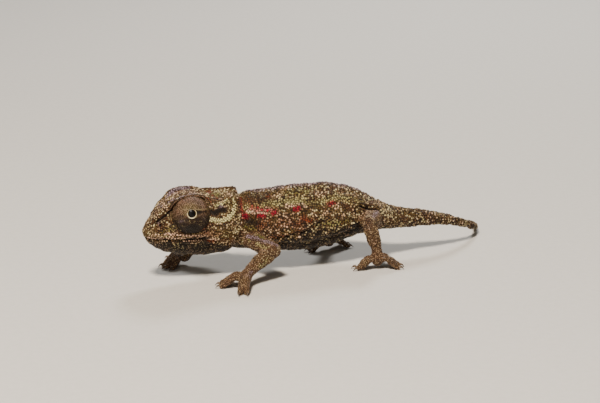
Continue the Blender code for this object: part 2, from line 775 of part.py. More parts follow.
def head_parts():
    """Head and lower jaw, and the grown head that parts the neck from them."""
    skull = head()
    cutter = grown(skull, "head_grown")
    skull = thinned(skull, FINENESS["head"])
    skull = main_body(combined(skull, "UNION", brow_knobs(), "EXACT"))
    for cut in [mouth_cutter()] + socket_cutters("left") + socket_cutters("right"):
        skull = combined(skull, "DIFFERENCE", [cut])
    return named_bodies(skull, HEAD_SEEDS), cutter


def trunk_parts(head_cutter):
    """Neck, torso and tail, and one grown trunk for each leg to be cut with."""
    body = trunk()
    cutters = [grown(body, "torso_grown") for _ in FEET]
    body = thinned(body, FINENESS["trunk"])
    body = main_body(combined(body, "DIFFERENCE", [head_cutter]))
    body = trimmed_by_floor(body)
    body = main_body(combined(body, "UNION", back_knobs(), "EXACT"))
    for cut in (NECK_CUT, *TAIL_CUTS):
        body = combined(body, "DIFFERENCE", [disc(*cut)])
    return named_bodies(body, TRUNK_SEEDS), cutters


def coloured(obj, kind):
    """Gives a part its own material and smooth shading."""
    colour, roughness = COLOURS[kind]
    material = bpy.data.materials.new(obj.name)
    material.use_nodes = True
    shader = material.node_tree.nodes["Principled BSDF"]
    shader.inputs["Base Color"].default_value = colour
    shader.inputs["Roughness"].default_value = roughness
    shader.inputs["Metallic"].default_value = 0.0
    obj.data.materials.clear()
    obj.data.materials.append(material)
    obj.data.shade_smooth()
    obj.data.set_sharp_from_angle(angle=math.radians(50))


def placed(parts):
    """Centres the model over the origin, with the ground at Z = 0, and scales it to metres."""
    points = np.concatenate([points_of(part) for part in parts])
    middle = (points.min(axis=0) + points.max(axis=0)) / 2
    move = Matrix.Translation((-middle[0], -middle[1], 0.0))
    for part in parts:
        part.data.transform(Matrix.Scale(MM, 4) @ move)


def build():
    """Makes every part of the animal."""
    for obj in list(bpy.data.objects):
        bpy.data.objects.remove(obj)

    flesh, head_cutter = head_parts()
    trunk_pieces, torso_cutters = trunk_parts(head_cutter)
    flesh += trunk_pieces
    for foot_name, cutter in zip(FEET, torso_cutters):
        flesh += leg_parts(foot_name, cutter)
    lids = [eyelids(side) for side in ("left", "right")]
    eyes = [eyeball(side) for side in ("left", "right")]

    for kind, parts in (("skin", flesh), ("lid", lids), ("eye", eyes)):
        for part in parts:
            coloured(part, kind)
    placed(flesh + lids + eyes)


build()
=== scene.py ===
"""The looks of a life-size pygmy chameleon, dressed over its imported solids.

One beaded hide covers the whole animal. Its eyes, lids and claws are pieces of their own.
Shapes are worked out in millimetres, counted back from the snout with the animal's left
side on -Y and the ground at Z = 0, and are set into the frame's metres as meshes are made.
"""

import math

import bmesh
import bpy
import numpy as np
from mathutils import Matrix, Vector, noise
from mathutils.bvhtree import BVHTree
from mathutils.kdtree import KDTree


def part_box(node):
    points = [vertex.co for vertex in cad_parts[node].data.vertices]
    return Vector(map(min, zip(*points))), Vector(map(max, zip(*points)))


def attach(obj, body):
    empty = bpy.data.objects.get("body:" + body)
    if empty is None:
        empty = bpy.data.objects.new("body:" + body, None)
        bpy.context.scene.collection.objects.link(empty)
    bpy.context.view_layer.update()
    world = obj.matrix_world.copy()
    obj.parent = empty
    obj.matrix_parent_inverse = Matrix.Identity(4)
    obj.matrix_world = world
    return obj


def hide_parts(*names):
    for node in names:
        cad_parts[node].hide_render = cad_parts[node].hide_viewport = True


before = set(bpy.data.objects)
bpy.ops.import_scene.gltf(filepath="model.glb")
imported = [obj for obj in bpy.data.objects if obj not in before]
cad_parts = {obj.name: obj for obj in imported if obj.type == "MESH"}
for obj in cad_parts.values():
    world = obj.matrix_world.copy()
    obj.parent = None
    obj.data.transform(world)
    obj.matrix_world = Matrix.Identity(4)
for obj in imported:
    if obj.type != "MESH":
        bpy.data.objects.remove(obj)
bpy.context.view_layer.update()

MM = 0.001
SEED = 11

# The animal's sizes

# Trunk, as (back from the snout, height of the back, height of the belly, half width)
TRUNK = (
    (11.0, 11.2, 5.6, 1.9),
    (14.0, 12.4, 4.3, 2.8),
    (17.0, 13.1, 3.7, 3.2),
    (21.0, 13.3, 3.1, 3.8),
    (26.0, 13.4, 2.6, 4.1),
    (31.0, 13.1, 3.0, 4.0),
    (35.0, 11.9, 4.1, 3.5),
    (38.5, 9.9, 4.5, 2.8),
    (42.0, 8.1, 4.4, 2.0),
    (44.5, 7.4, 4.5, 1.5),
)
WIDEST_AT = 0.44
BACK_RIDGE = 0.34
BELLY_KEEL = 0.12

# Tail, as (back from the snout, to the right, height, radius)
TAIL = (
    (39.5, 0.0, 6.7, 1.95),
    (43.0, 0.1, 6.1, 1.75),
    (47.0, 0.3, 5.6, 1.4),
    (51.0, 0.9, 4.8, 1.0),
    (54.6, 2.2, 3.5, 0.76),
    (57.5, 4.2, 2.1, 0.65),
    (59.5, 6.8, 1.1, 0.57),
    (60.4, 9.5, 0.5, 0.5),
    (60.2, 12.0, 0.3, 0.42),
)
TAIL_NARROWNESS = 0.88

# Head, as (back from the snout, top, middle, underside, half width, top share of the width)
HEAD = (
    (0.0, 8.6, 8.1, 7.0, 0.85, 0.80),
    (1.0, 10.0, 8.3, 6.1, 1.55, 0.80),
    (2.5, 11.7, 8.8, 5.1, 2.15, 0.78),
    (4.5, 13.2, 9.4, 4.3, 2.75, 0.76),
    (6.8, 14.1, 9.8, 3.9, 3.15, 0.78),
    (9.0, 14.1, 9.6, 3.75, 3.45, 0.74),
    (11.5, 13.8, 9.0, 3.7, 3.75, 0.66),
    (13.6, 13.7, 8.8, 4.0, 3.6, 0.58),
    (15.0, 13.6, 9.0, 5.0, 2.9, 0.50),
    (15.8, 13.2, 9.4, 6.4, 1.9, 0.45),
)
TOP_SQUARENESS = 3.1
JAW_ROUNDNESS = 2.1
SNOUT_ROUND = 1.1
NAPE_ROUND = 0.9

# Ridge from the snout over each eye, as (x, to the side, height, radius)
BROW = (
    (1.9, 1.1, 10.6, 0.35),
    (4.3, 1.9, 12.6, 0.5),
    (6.2, 2.25, 13.5, 0.62),
    (8.2, 2.3, 13.6, 0.62),
    (10.2, 2.45, 12.95, 0.5),
    (11.8, 2.2, 12.5, 0.35),
)

# Legs, as joints with (place, radius)
ARM_LEFT = (((16.4, -2.2, 5.9), 1.35), ((19.2, -6.0, 4.85), 1.35), ((14.8, -7.5, 2.4), 0.95))
ARM_RIGHT = (((16.4, 2.2, 5.9), 1.35), ((14.2, 6.2, 5.0), 1.35), ((9.8, 6.6, 2.4), 0.95))
LEG_LEFT = (((37.6, -1.5, 7.1), 1.8), ((35.5, -5.2, 7.5), 1.25), ((36.7, -5.8, 2.7), 0.95))
LEG_RIGHT = (((37.6, 1.5, 7.1), 1.8), ((33.0, 5.1, 7.2), 1.25), ((33.3, 6.0, 2.7), 0.95))
UPPER_BELLY = 1.03
LOWER_BELLY = 1.04
PALM_RADIUS = 1.15
PALM_HEIGHT = 1.5
TOE_RADIUS = 0.56
TOE_TIP = 0.43
TOE_PITCH = 0.66
TOE_SPREAD = 0.5
TOE_ARCH = 0.55
# Feet, as (leg, palm, bundles), a bundle being (heading in degrees, toes, length)
FEET = {
    "hand_left": (ARM_LEFT, (14.0, -7.9), ((150, 3, 3.8), (248, 2, 3.9))),
    "hand_right": (ARM_RIGHT, (8.7, 6.6), ((203, 3, 3.7), (110, 2, 3.5))),
    "foot_left": (LEG_LEFT, (36.7, -6.0), ((174, 2, 3.3), (350, 3, 3.4))),
    "foot_right": (LEG_RIGHT, (33.0, 6.2), ((190, 2, 3.3), (12, 3, 3.4))),
}

# Eyes
EYE_PLACE = Vector((7.05, -2.75, 11.1))
EYE_GAZE = Vector((-0.22, -0.93, 0.27)).normalized()
ORBIT_FACING = Vector((-0.1, -0.98, -0.05)).normalized()
CAD_BALL_FORWARD = 0.45

# The line of the mouth, as (back from the snout, height)
MOUTH = (
    (-1.0, 7.1), (0.6, 7.08), (3.0, 7.08), (5.4, 7.04), (7.0, 6.99), (8.2, 7.02), (9.2, 6.92),
    (10.0, 6.62), (11.0, 6.3),
)
# Second row of the upper lip, as (back from the snout, height)
UPPER_LIP_ROW = (
    (0.8, 8.05), (2.7, 8.0), (5.2, 7.9), (6.6, 7.76), (8.0, 7.68), (9.2, 7.54), (9.8, 7.3),
    (10.6, 6.86), (11.4, 6.6),
)

# Lines and spots of the hide on one side, as (back from the snout, to the side, height)
TEMPLE = ((10.2, 3.1, 12.4), (11.8, 2.9, 12.5), (13.6, 2.4, 13.1), (15.1, 1.2, 13.7))
CHEEK_BAND = (
    (9.8, 3.5, 10.1), (10.6, 3.5, 9.8), (11.8, 3.4, 9.65), (12.9, 3.4, 9.9), (13.7, 3.2, 10.5),
    (14.3, 2.8, 11.4), (14.2, 2.3, 12.3), (13.7, 2.2, 12.75),
)
CROWN = ((9.6, 0.0, 14.0), (12.5, 0.0, 13.9), (15.5, 0.0, 13.7))
NAPE_EDGE = ((15.3, 1.7, 12.6), (15.5, 2.3, 10.5), (14.9, 3.0, 8.2), (13.7, 3.3, 6.4))
CANTHUS_GROOVE = (
    (2.0, 1.3, 9.9), (2.75, 1.5, 10.35), (3.35, 1.7, 10.85), (3.8, 1.8, 11.3), (4.2, 1.9, 11.75),
    (4.6, 2.1, 12.3),
)
NOSTRIL = (2.6, 1.93, 9.45)
FLANK_FOLD = (
    (20.8, 3.6, 5.9), (22.0, 3.67, 6.07), (23.5, 3.84, 6.3), (25.1, 4.0, 6.7), (26.1, 4.07, 7.1),
    (27.3, 4.1, 7.6), (28.1, 4.0, 8.1),
)
HIP_CREASE = ((34.8, 2.9, 9.6), (35.6, 2.7, 9.2), (36.4, 2.5, 8.85), (37.4, 2.4, 8.6), (38.2, 2.3, 8.4))

# Folds round a socket, as (radius, first and last turn in degrees, height)
ORBIT_FOLDS = (
    (3.4, 15, 55, 0.1),
    (3.75, 12, 50, 0.13),
    (4.1, 15, 45, 0.11),
    (4.5, 20, 42, 0.09),
    (3.75, -150, -30, 0.12),
    (4.45, -140, -50, 0.1),
)
ORBIT_FOLD_WIDTH = 0.17
# Raised and sunken lines of the hide, as (line on one side, half width, height)
FOLDS = (
    (TEMPLE, 0.5, 0.38),
    (CHEEK_BAND, 0.55, 0.26),
    (CROWN, 0.45, 0.4),
    (NAPE_EDGE, 0.5, 0.22),
    (CANTHUS_GROOVE, 0.4, -0.06),
    (((17.5, 3.6, 6.3), (21.5, 4.0, 5.4), (27.0, 4.2, 5.3), (32.0, 3.9, 6.4), (35.0, 3.4, 7.4)), 0.6, 0.22),
    (((18.5, 3.5, 4.9), (22.5, 3.7, 4.0), (28.0, 3.8, 4.1), (33.0, 3.4, 5.5)), 0.55, -0.25),
    (((34.0, 3.4, 10.6), (36.5, 3.1, 10.3), (39.5, 2.4, 9.3)), 0.6, 0.3),
    (((16.6, 3.0, 12.0), (16.9, 3.3, 9.5), (16.6, 3.3, 7.6)), 0.6, -0.22),
    (((18.4, 2.6, 12.0), (19.3, 3.3, 9.9), (20.1, 3.8, 7.7)), 0.4, -0.15),
    (((22.0, 2.7, 12.1), (22.6, 3.7, 9.4), (23.9, 4.1, 7.4)), 0.35, -0.13),
    (((25.6, 3.0, 11.9), (26.3, 4.0, 8.9), (27.2, 4.1, 6.6)), 0.4, -0.14),
    (((29.3, 3.0, 11.7), (30.2, 3.9, 8.9), (30.6, 4.0, 6.2)), 0.35, -0.13),
    (((32.4, 2.9, 11.0), (33.2, 3.6, 9.0), (33.3, 3.7, 6.9)), 0.45, -0.18),
    (((34.0, 3.3, 8.8), (34.4, 3.5, 7.6), (34.3, 3.4, 6.4)), 0.3, -0.2),
    (((12.6, 3.7, 8.2), (13.0, 3.7, 7.0), (12.5, 3.6, 5.8)), 0.3, -0.14),
)
# Creases too sharp for the coarse hide, cut once it is finer there
CREASES = (
    (FLANK_FOLD, 0.2, -0.24),
    (tuple((x, y, z + 0.42) for x, y, z in FLANK_FOLD), 0.35, 0.1),
    (HIP_CREASE, 0.2, -0.24),
    (CANTHUS_GROOVE, 0.13, -0.2),
    (((15.9, 1.2, 12.7), (16.1, 2.3, 11.4), (16.2, 2.8, 9.6), (15.7, 3.1, 7.9)), 0.2, -0.2),
    (((18.3, 2.9, 8.2), (18.8, 3.3, 7.0), (18.9, 3.5, 6.0)), 0.22, -0.16),
    (((13.1, 3.3, 5.3), (13.9, 3.0, 4.9), (14.7, 2.2, 4.3)), 0.25, -0.2),
)
# Rounded swellings and hollows, as (place on one side, radius, height)
SWELLINGS = (
    ((12.0, 3.9, 10.7), 1.15, -0.42),
    ((7.5, 0.0, 14.3), 1.9, -0.4),
    ((12.9, 3.2, 5.2), 1.7, 0.3),
    ((9.0, 0.0, 3.6), 3.0, 0.2),
)

# Shapes in numbers


def along(knots, places):
    """Values of the smooth curve through (place, values...) knots at the given places."""
    knots = np.array(knots, float)
    at, value = knots[:, 0], knots[:, 1:]
    slope = np.gradient(value, at, axis=0)
    i = np.clip(np.searchsorted(at, places) - 1, 0, len(at) - 2)
    width = (at[i + 1] - at[i])[:, None]
    u = np.clip((places - at[i])[:, None] / width, 0.0, 1.0)
    start = value[i] * (1 + 2 * u) * (1 - u) ** 2 + slope[i] * width * u * (1 - u) ** 2
    end = value[i + 1] * u**2 * (3 - 2 * u) + slope[i + 1] * width * u**2 * (u - 1)
    return start + end


def smooth_line(points, pitch):
    """Points at an even pitch on the smooth curve through a line's corners."""
    points = np.array(points, float)
    run = np.concatenate([[0], np.cumsum(np.linalg.norm(np.diff(points, axis=0), axis=1))])
    count = max(2, int(round(run[-1] / pitch)) + 1)
    return along(np.column_stack([run, points]), np.linspace(0, run[-1], count))


def step_up(low, high, values):
    """0 below low, 1 above high and smooth between."""
    share = np.clip((values - low) / (high - low), 0.0, 1.0)
    return share * share * (3 - 2 * share)


def bell(values, width):
    """1 at zero, falling off smoothly to both sides."""
    return np.exp(-((values / width) ** 2))


def full_turn(count):
    """Evenly spaced angles once round."""
    return np.linspace(0, 2 * math.pi, count, endpoint=False)


def distance_to_line(points, line):
    """Each point's distance from a line of straight runs, or from a lone point."""
    line = np.array(line, float).reshape(-1, 3)
    best = np.linalg.norm(points - line[0], axis=1)
    for a, b in zip(line[:-1], line[1:]):
        run = b - a
        share = np.clip(((points - a) @ run) / (run @ run), 0, 1)
        best = np.minimum(best, np.linalg.norm(points - a - share[:, None] * run, axis=1))
    return best


def one_side(points):
    """The points folded over to the positive side, for what is alike on both."""
    return np.abs(points) * (0, 1, 0) + points * (1, 0, 1)


def mirrored(vector, side):
    """A left-side vector, or its mirror image for the right side."""
    return Vector((vector[0], vector[1] * (1 if side == "left" else -1), vector[2]))


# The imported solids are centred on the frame, so their eyes tell where the snout is
left_low, left_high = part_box("eye_left")
right_low, right_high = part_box("eye_right")
ball_middle = EYE_PLACE + EYE_GAZE * CAD_BALL_FORWARD
SHIFT = np.array(
    (
        ball_middle.x - (left_high.x / MM - 0.5 * (left_high.x - left_low.x) / MM),
        -(left_low.y + left_high.y + right_low.y + right_high.y) / 4 / MM,
        0.0,
    )
)


def in_frame(points):
    """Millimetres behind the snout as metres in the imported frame."""
    return (np.asarray(points, float) - SHIFT) * MM


# Meshes


def linked(name, data):
    """A new object in the scene that holds the given data."""
    obj = bpy.data.objects.new(name, data)
    bpy.context.scene.collection.objects.link(obj)
    return obj


def new_object(name, verts, faces=()):
    """An object from points and faces in millimetres, linked to the scene."""
    mesh = bpy.data.meshes.new(name)
    mesh.from_pydata([tuple(map(float, v)) for v in verts], [], list(faces))
    mesh.update()
    return linked(name, mesh)


def discard(*objects):
    """Takes helpers out of the scene with their meshes."""
    for obj in objects:
        mesh = obj.data
        bpy.data.objects.remove(obj)
        bpy.data.meshes.remove(mesh)


def outward(obj):
    """Turns every face of a closed mesh outwards."""
    bm = bmesh.new()
    bm.from_mesh(obj.data)
    bmesh.ops.recalc_face_normals(bm, faces=bm.faces)
    bm.to_mesh(obj.data)
    bm.free()
    return obj


def grid_faces(rows, around, closed=True):
    """Faces between rings of points that follow one another."""
    faces = []
    for near in range(0, (rows - 1) * around, around):
        far = near + around
        for i in range(around if closed else around - 1):
            j = (i + 1) % around
            faces.append((near + i, near + j, far + j, far + i))
    return faces


def skinned(name, rings):
    """A closed body through rings of points, with a fan at each end."""
    count, around = len(rings), len(rings[0])
    verts = np.concatenate(list(rings) + [[np.mean(rings[0], axis=0), np.mean(rings[-1], axis=0)]])
    faces = grid_faces(count, around)
    last = (count - 1) * around
    for i in range(around):
        j = (i + 1) % around
        faces += [(j, i, count * around), (last + i, last + j, count * around + 1)]
    return outward(new_object(name, verts, faces))


def round_ends(distance, length, start, end):
    """How far a body's section has opened, from 0 at a rounded end to 1 past it."""
    front = np.clip(distance / start, 0.0, 1.0)
    back = np.clip((length - distance) / end, 0.0, 1.0)
    return np.sqrt(1 - (1 - front) ** 2) * np.sqrt(1 - (1 - back) ** 2)


def tube(name, knots, narrowness=1.0, around=28, pitch=0.3):
    """A tapering round body through (x, y, z, radius) knots, closed by round ends."""
    knots = np.array(knots, float)
    run = np.concatenate([[0], np.cumsum(np.linalg.norm(np.diff(knots[:, :3], axis=0), axis=1))])
    first, last = knots[0, 3], knots[-1, 3]
    lead = np.array([knots[1, :3] - knots[0, :3], knots[-1, :3] - knots[-2, :3]])
    lead /= np.linalg.norm(lead, axis=1)[:, None]
    steps = max(8, int(run[-1] / pitch))
    middle = along(np.column_stack([run, knots]), np.linspace(0, run[-1], steps))
    caps = np.linspace(0.05, math.pi / 2, 6)[:-1, None]
    start = np.hstack([knots[0, :3] - lead[0] * first * np.cos(caps), first * np.sin(caps)])
    end = np.hstack([knots[-1, :3] + lead[1] * last * np.cos(caps), last * np.sin(caps)])
    rows = np.concatenate([start, middle, end[::-1]])
    heading = np.gradient(rows[:, :3], axis=0)
    angle = full_turn(around)
    rings = []
    for (x, y, z, radius), way in zip(rows, heading):
        way = Vector(way).normalized()
        side = way.cross(Vector((0, 0, 1)))
        side = side.normalized() if side.length > 0.2 else Vector((0, 1, 0))
        lift = side.cross(way).normalized()
        across = np.outer(np.cos(angle), side) * narrowness + np.outer(np.sin(angle), lift)
        rings.append(np.array((x, y, z)) + radius * across)
    return skinned(name, rings)


def ball(name, place, radii):
    """An ellipsoid."""
    bm = bmesh.new()
    bmesh.ops.create_uvsphere(bm, u_segments=32, v_segments=16, radius=1.0)
    bmesh.ops.transform(bm, matrix=Matrix.Translation(place) @ Matrix.Diagonal((*radii, 1)), verts=bm.verts)
    mesh = bpy.data.meshes.new(name)
    bm.to_mesh(mesh)
    bm.free()
    return linked(name, mesh)


def applied(obj):
    """Bakes an object's modifiers into its mesh."""
    graph = bpy.context.evaluated_depsgraph_get()
    baked = bpy.data.meshes.new_from_object(obj.evaluated_get(graph))
    old = obj.data
    obj.modifiers.clear()
    obj.data = baked
    bpy.data.meshes.remove(old)
    return obj


def joined(name, pieces):
    """Pieces as one object, with nothing welded."""
    bm = bmesh.new()
    for piece in pieces:
        bm.from_mesh(piece.data)
    mesh = bpy.data.meshes.new(name)
    bm.to_mesh(mesh)
    bm.free()
    discard(*pieces)
    return linked(name, mesh)


def rows_of(items, key, width=3, kind=np.float32):
    """A property of every item as rows."""
    rows = np.zeros(len(items) * width, kind)
    items.foreach_get(key, rows)
    return rows.reshape(-1, width)


def points_of(mesh):
    """The points of a mesh as rows."""
    return rows_of(mesh.vertices, "co").astype(float)


def normals_of(mesh):
    """The normal at each point of a mesh."""
    return rows_of(mesh.vertex_normals, "vector").astype(float)


def triangles_of(mesh):
    """Corner points' numbers of each triangle of a mesh."""
    mesh.calc_loop_triangles()
    return rows_of(mesh.loop_triangles, "vertices", kind=np.int32)


def set_points(mesh, points):
    """Moves the points of a mesh."""
    mesh.vertices.foreach_set("co", np.asarray(points, np.float32).ravel())
    mesh.update()


def store(mesh, name, values):
    """Writes a number or a vector for each point of a mesh as a named attribute."""
    values = np.asarray(values, np.float32)
    kind, key = ("FLOAT", "value") if values.ndim == 1 else ("FLOAT_VECTOR", "vector")
    mesh.attributes.new(name, kind, "POINT").data.foreach_set(key, values.ravel())


# The hide

HIDE_VOXEL = 0.19
HIDE_SOFTENING = 5
BEAD_DEPTH = 0.1
SOLE_HEIGHT = 0.05
LINE_PITCH = 0.4
# Where the noise of the wrinkles is read from, and how it is stretched down the flanks
WRINKLES_FROM = Vector((31.0, 7.0, 3.0))
WRINKLE_STRETCH = np.array((0.5, 0.42, 0.3))


def trunk_body():
    """Neck and torso, narrow along the back and the belly."""
    places = np.arange(TRUNK[0][0], TRUNK[-1][0], 0.35)
    length = TRUNK[-1][0] - TRUNK[0][0]
    opened = round_ends(places - TRUNK[0][0] + 0.05, length + 0.1, 1.0, 1.5)
    angle = full_turn(64)
    up, side = np.cos(angle), np.sin(angle)
    rings = []
    for x, (top, bottom, half), open_ in zip(places, along(TRUNK, places), opened):
        middle = bottom + (top - bottom) * WIDEST_AT
        reach = np.where(up > 0, top - middle, middle - bottom)
        narrow = 1 - np.where(up > 0, BACK_RIDGE, BELLY_KEEL) * up**2
        across = half * side * narrow * open_
        rings.append(np.column_stack([np.full(len(up), x), across, middle + reach * up * open_]))
    return skinned("trunk", rings)


def skull_body():
    """The head with its casque, before folds and ridges."""
    length = HEAD[-1][0]
    places = length * (1 - np.cos(np.linspace(0.03, math.pi - 0.03, 64))) / 2
    opened = round_ends(places, length, SNOUT_ROUND, NAPE_ROUND)
    angle = full_turn(80)
    up, side = np.cos(angle), np.sin(angle)
    rings = []
    for x, row, open_ in zip(places, along(HEAD, places), opened):
        top, middle, bottom, half, share = row
        power = np.where(up > 0, 2 / TOP_SQUARENESS, 2 / JAW_ROUNDNESS)
        lift = np.sign(up) * np.abs(up) ** power
        width = np.sign(side) * np.abs(side) ** power
        reach = np.where(up > 0, top - middle, middle - bottom)
        taper = 1 - (1 - share) * np.clip(lift, 0, 1) ** 1.5
        across = half * width * taper * open_
        rings.append(np.column_stack([np.full(len(up), x), across, middle + reach * lift * open_]))
    return skinned("skull", rings)


def between(a, b, share):
    """A point part of the way from a to b."""
    return tuple(Vector(a).lerp(Vector(b), share))


def toe_paths(palm, bundles):
    """Each toe's knots from the palm out over an arch to its tip on the ground."""
    paths = []
    for heading, toes, length in bundles:
        ahead = Vector((math.cos(math.radians(heading)), math.sin(math.radians(heading)), 0))
        beside = Vector((-ahead.y, ahead.x, 0))
        for i in range(toes):
            rank = i - (toes - 1) / 2
            reach = length * (1 - 0.09 * rank**2)
            knots = []
            for share, height, radius in (
                (0.05, PALM_HEIGHT, TOE_RADIUS * 1.1),
                (0.35, PALM_HEIGHT + TOE_ARCH * 0.55, TOE_RADIUS * 1.05),
                (0.7, PALM_HEIGHT * 0.72, TOE_RADIUS),
                (1.0, TOE_TIP * 0.55, TOE_TIP),
            ):
                drift = rank * (TOE_PITCH + TOE_SPREAD * share**2)
                spot = Vector((*palm, 0)) + ahead * reach * share + beside * drift
                knots.append((spot.x, spot.y, height, radius))
            paths.append(knots)
    return paths


def leg_bodies(joints, palm, bundles):
    """Thigh or upper arm, shin or forearm, palm and toes."""
    (root, thick), (knee, middle), (ankle, thin) = joints
    thigh = (*between(root, knee, 0.5), (thick + middle) / 2 * UPPER_BELLY)
    calf = (*between(knee, ankle, 0.45), middle * 0.9 * LOWER_BELLY)
    centre = (palm[0], palm[1], PALM_HEIGHT)
    pieces = [
        tube("upper", [(*root, thick), thigh, (*knee, middle)]),
        tube("lower", [(*knee, middle * 0.94), calf, (*ankle, thin)]),
        ball("palm", centre, (PALM_RADIUS, PALM_RADIUS, PALM_RADIUS * 0.95)),
        tube("wrist", [(*ankle, 0.95), (*between(ankle, centre, 0.5), 1.0), (*centre, 0.98)]),
    ]
    return pieces + [tube("toe", knots) for knots in toe_paths(palm, bundles)]


def head_half(places):
    """Half the head's width at places back from the snout."""
    return along([row[:1] + row[4:5] for row in HEAD], places)[:, 0]


def lip_lines():
    """The swollen edge of each lip, as lines that follow the mouth."""
    lines = []
    for offset, height in ((0.42, 0.2), (-0.42, 0.14)):
        line = []
        for x, z in MOUTH[1:-1]:
            half = head_half(np.array([max(x, 0.3)]))[0]
            line.append((x, half * 0.97, z + offset))
        lines.append((tuple(line), 0.3, height))
    return tuple(lines)


def orbit_arc(radius, start, end):
    """A line on one side that follows the rim of a socket, from one turn in degrees to another."""
    facing = Vector(ORBIT_FACING)
    behind = Vector((0, 0, 1)).cross(facing).normalized()
    lift = facing.cross(behind)
    line = []
    for degrees in np.linspace(start, end, 12):
        a = math.radians(degrees)
        spot = EYE_PLACE + radius * (math.cos(a) * behind + math.sin(a) * lift)
        line.append((spot.x, -spot.y, spot.z))
    return tuple(line)


def laid_on(tree, line):
    """A line on one side, drawn to the left side's surface and folded back."""
    line = np.array(line, float).reshape(-1, 3)
    if len(line) > 1:
        line = smooth_line(line, LINE_PITCH)
    spots = np.array([tree.find_nearest(Vector((x, -y, z)))[0] for x, y, z in line])
    return one_side(spots)


def surface_of(mesh):
    """The faces of a mesh in a tree that finds the nearest spot."""
    return BVHTree.FromPolygons(points_of(mesh).tolist(), triangles_of(mesh).tolist())


def sculpt(mesh, lines, spots=()):
    """Raises or sinks the surface beside each line and spot, alike on both sides."""
    points = points_of(mesh)
    half = one_side(points)
    rise = np.zeros(len(points))
    surface = surface_of(mesh)
    for line, width, height in lines:
        rise += height * bell(distance_to_line(half, laid_on(surface, line)), width)
    for place, radius, height in spots:
        rise += height * bell(np.linalg.norm(half - place, axis=1), radius)
    set_points(mesh, points + normals_of(mesh) * rise[:, None])


def from_gaze(points, side):
    """Each point's distance from an eye, and from the axis that its socket faces along."""
    place, facing = mirrored(EYE_PLACE, side), mirrored(ORBIT_FACING, side)
    offset = points - np.array(place)
    height = offset @ np.array(facing)
    axial = np.linalg.norm(offset - height[:, None] * np.array(facing), axis=1)
    return np.linalg.norm(offset, axis=1), axial, height


def mouth_height(x):
    """Height of the line of the mouth."""
    rows = np.array(MOUTH)
    return np.interp(x, rows[:, 0], rows[:, 1])


def over_mouth(points):
    """How high each point is over the line of the mouth."""
    return points[:, 2] - mouth_height(points[:, 0])


def refine(mesh, wanted):
    """Splits the faces round the points that wanted picks, so that sharp forms fit."""
    chosen = wanted(points_of(mesh))
    bm = bmesh.new()
    bm.from_mesh(mesh)
    bm.verts.ensure_lookup_table()
    faces = {face for i in np.flatnonzero(chosen) for face in bm.verts[i].link_faces}
    edges = {edge for face in faces for edge in face.edges}
    bmesh.ops.subdivide_edges(bm, edges=sorted(edges, key=lambda e: e.index), cuts=1, use_grid_fill=True)
    bm.to_mesh(mesh)
    bm.free()
    mesh.update()


def near_details(points):
    """Where the hide needs finer faces."""
    half = one_side(points)
    near = np.zeros(len(points), bool)
    for line, width, _ in CREASES:
        near |= distance_to_line(half, line) < width + 0.25
    near |= (points[:, 0] < 11.2) & (np.abs(over_mouth(points)) < 0.42)
    near |= distance_to_line(half, NOSTRIL) < 0.7
    _, axial, height = from_gaze(-one_side(points) * (0, 1, 0) + points * (1, 0, 1), "left")
    near |= (np.abs(axial - 2.95) < 0.4) & (height > -2.2)
    return near


def near_mouth(points):
    """Where the slit of the mouth and the nostrils need the finest faces."""
    half = one_side(points)
    near = (points[:, 0] < 10.8) & (np.abs(over_mouth(points)) < 0.2)
    return near | (distance_to_line(half, NOSTRIL) < 0.42)


def hollow_sockets(mesh):
    """Hollows the hide under the lids' domes and raises a low rim round each."""
    points, normals = points_of(mesh), normals_of(mesh)
    for side in ("left", "right"):
        facing = np.array(mirrored(ORBIT_FACING, side))
        _, axial, height = from_gaze(points, side)
        low = step_up(-0.2, 0.7, (EYE_PLACE.z - points[:, 2]) / np.maximum(axial, 0.1))
        outer = step_up(-1.8, -0.6, height) * step_up(-0.1, 0.35, normals @ facing)
        hollow = (1 - step_up(2.55, 2.95, axial)) * (1 - step_up(13.1, 13.7, points[:, 2]))
        rim = 0.1 * (1 - low) * bell(axial - 3.2, 0.22)
        swell = 0.3 * low * bell(axial - 3.1, 0.55)
        points += facing * (outer * (rim + swell - hollow * 0.75))[:, None]
    set_points(mesh, points)


def finest_forms(mesh):
    """The slit of the mouth, nostrils and sharp creases."""
    sculpt(mesh, CREASES)
    points = points_of(mesh)
    half = one_side(points)
    slit = -0.24 * bell(over_mouth(points), 0.06) * (1 - step_up(9.2, 10.6, points[:, 0]))
    from_nostril = distance_to_line(half, NOSTRIL)
    pit = 0.12 * bell(from_nostril - 0.45, 0.15) - 0.45 * bell(from_nostril, 0.22)
    set_points(mesh, points + normals_of(mesh) * (slit + pit)[:, None])


def unevenness(mesh):
    """Soft lumps and a net of fine wrinkles, so that the hide isn't machine smooth."""
    points = points_of(mesh)
    lumps = np.array([noise.noise(Vector(p) * 0.55) + 0.5 * noise.noise(Vector(p) * 1.3) for p in points])
    net = np.array([noise.noise(Vector(p) + WRINKLES_FROM) for p in points * WRINKLE_STRETCH])
    fine = np.array([noise.noise(Vector(p) * 0.7 - WRINKLES_FROM) for p in points])
    wrinkles = 0.12 * bell(net, 0.09) + 0.08 * bell(fine, 0.1)
    calm = 1 - 0.6 * (1 - step_up(13.0, 16.0, points[:, 0]))
    set_points(mesh, points + normals_of(mesh) * (lumps * 0.14 - wrinkles * calm)[:, None])


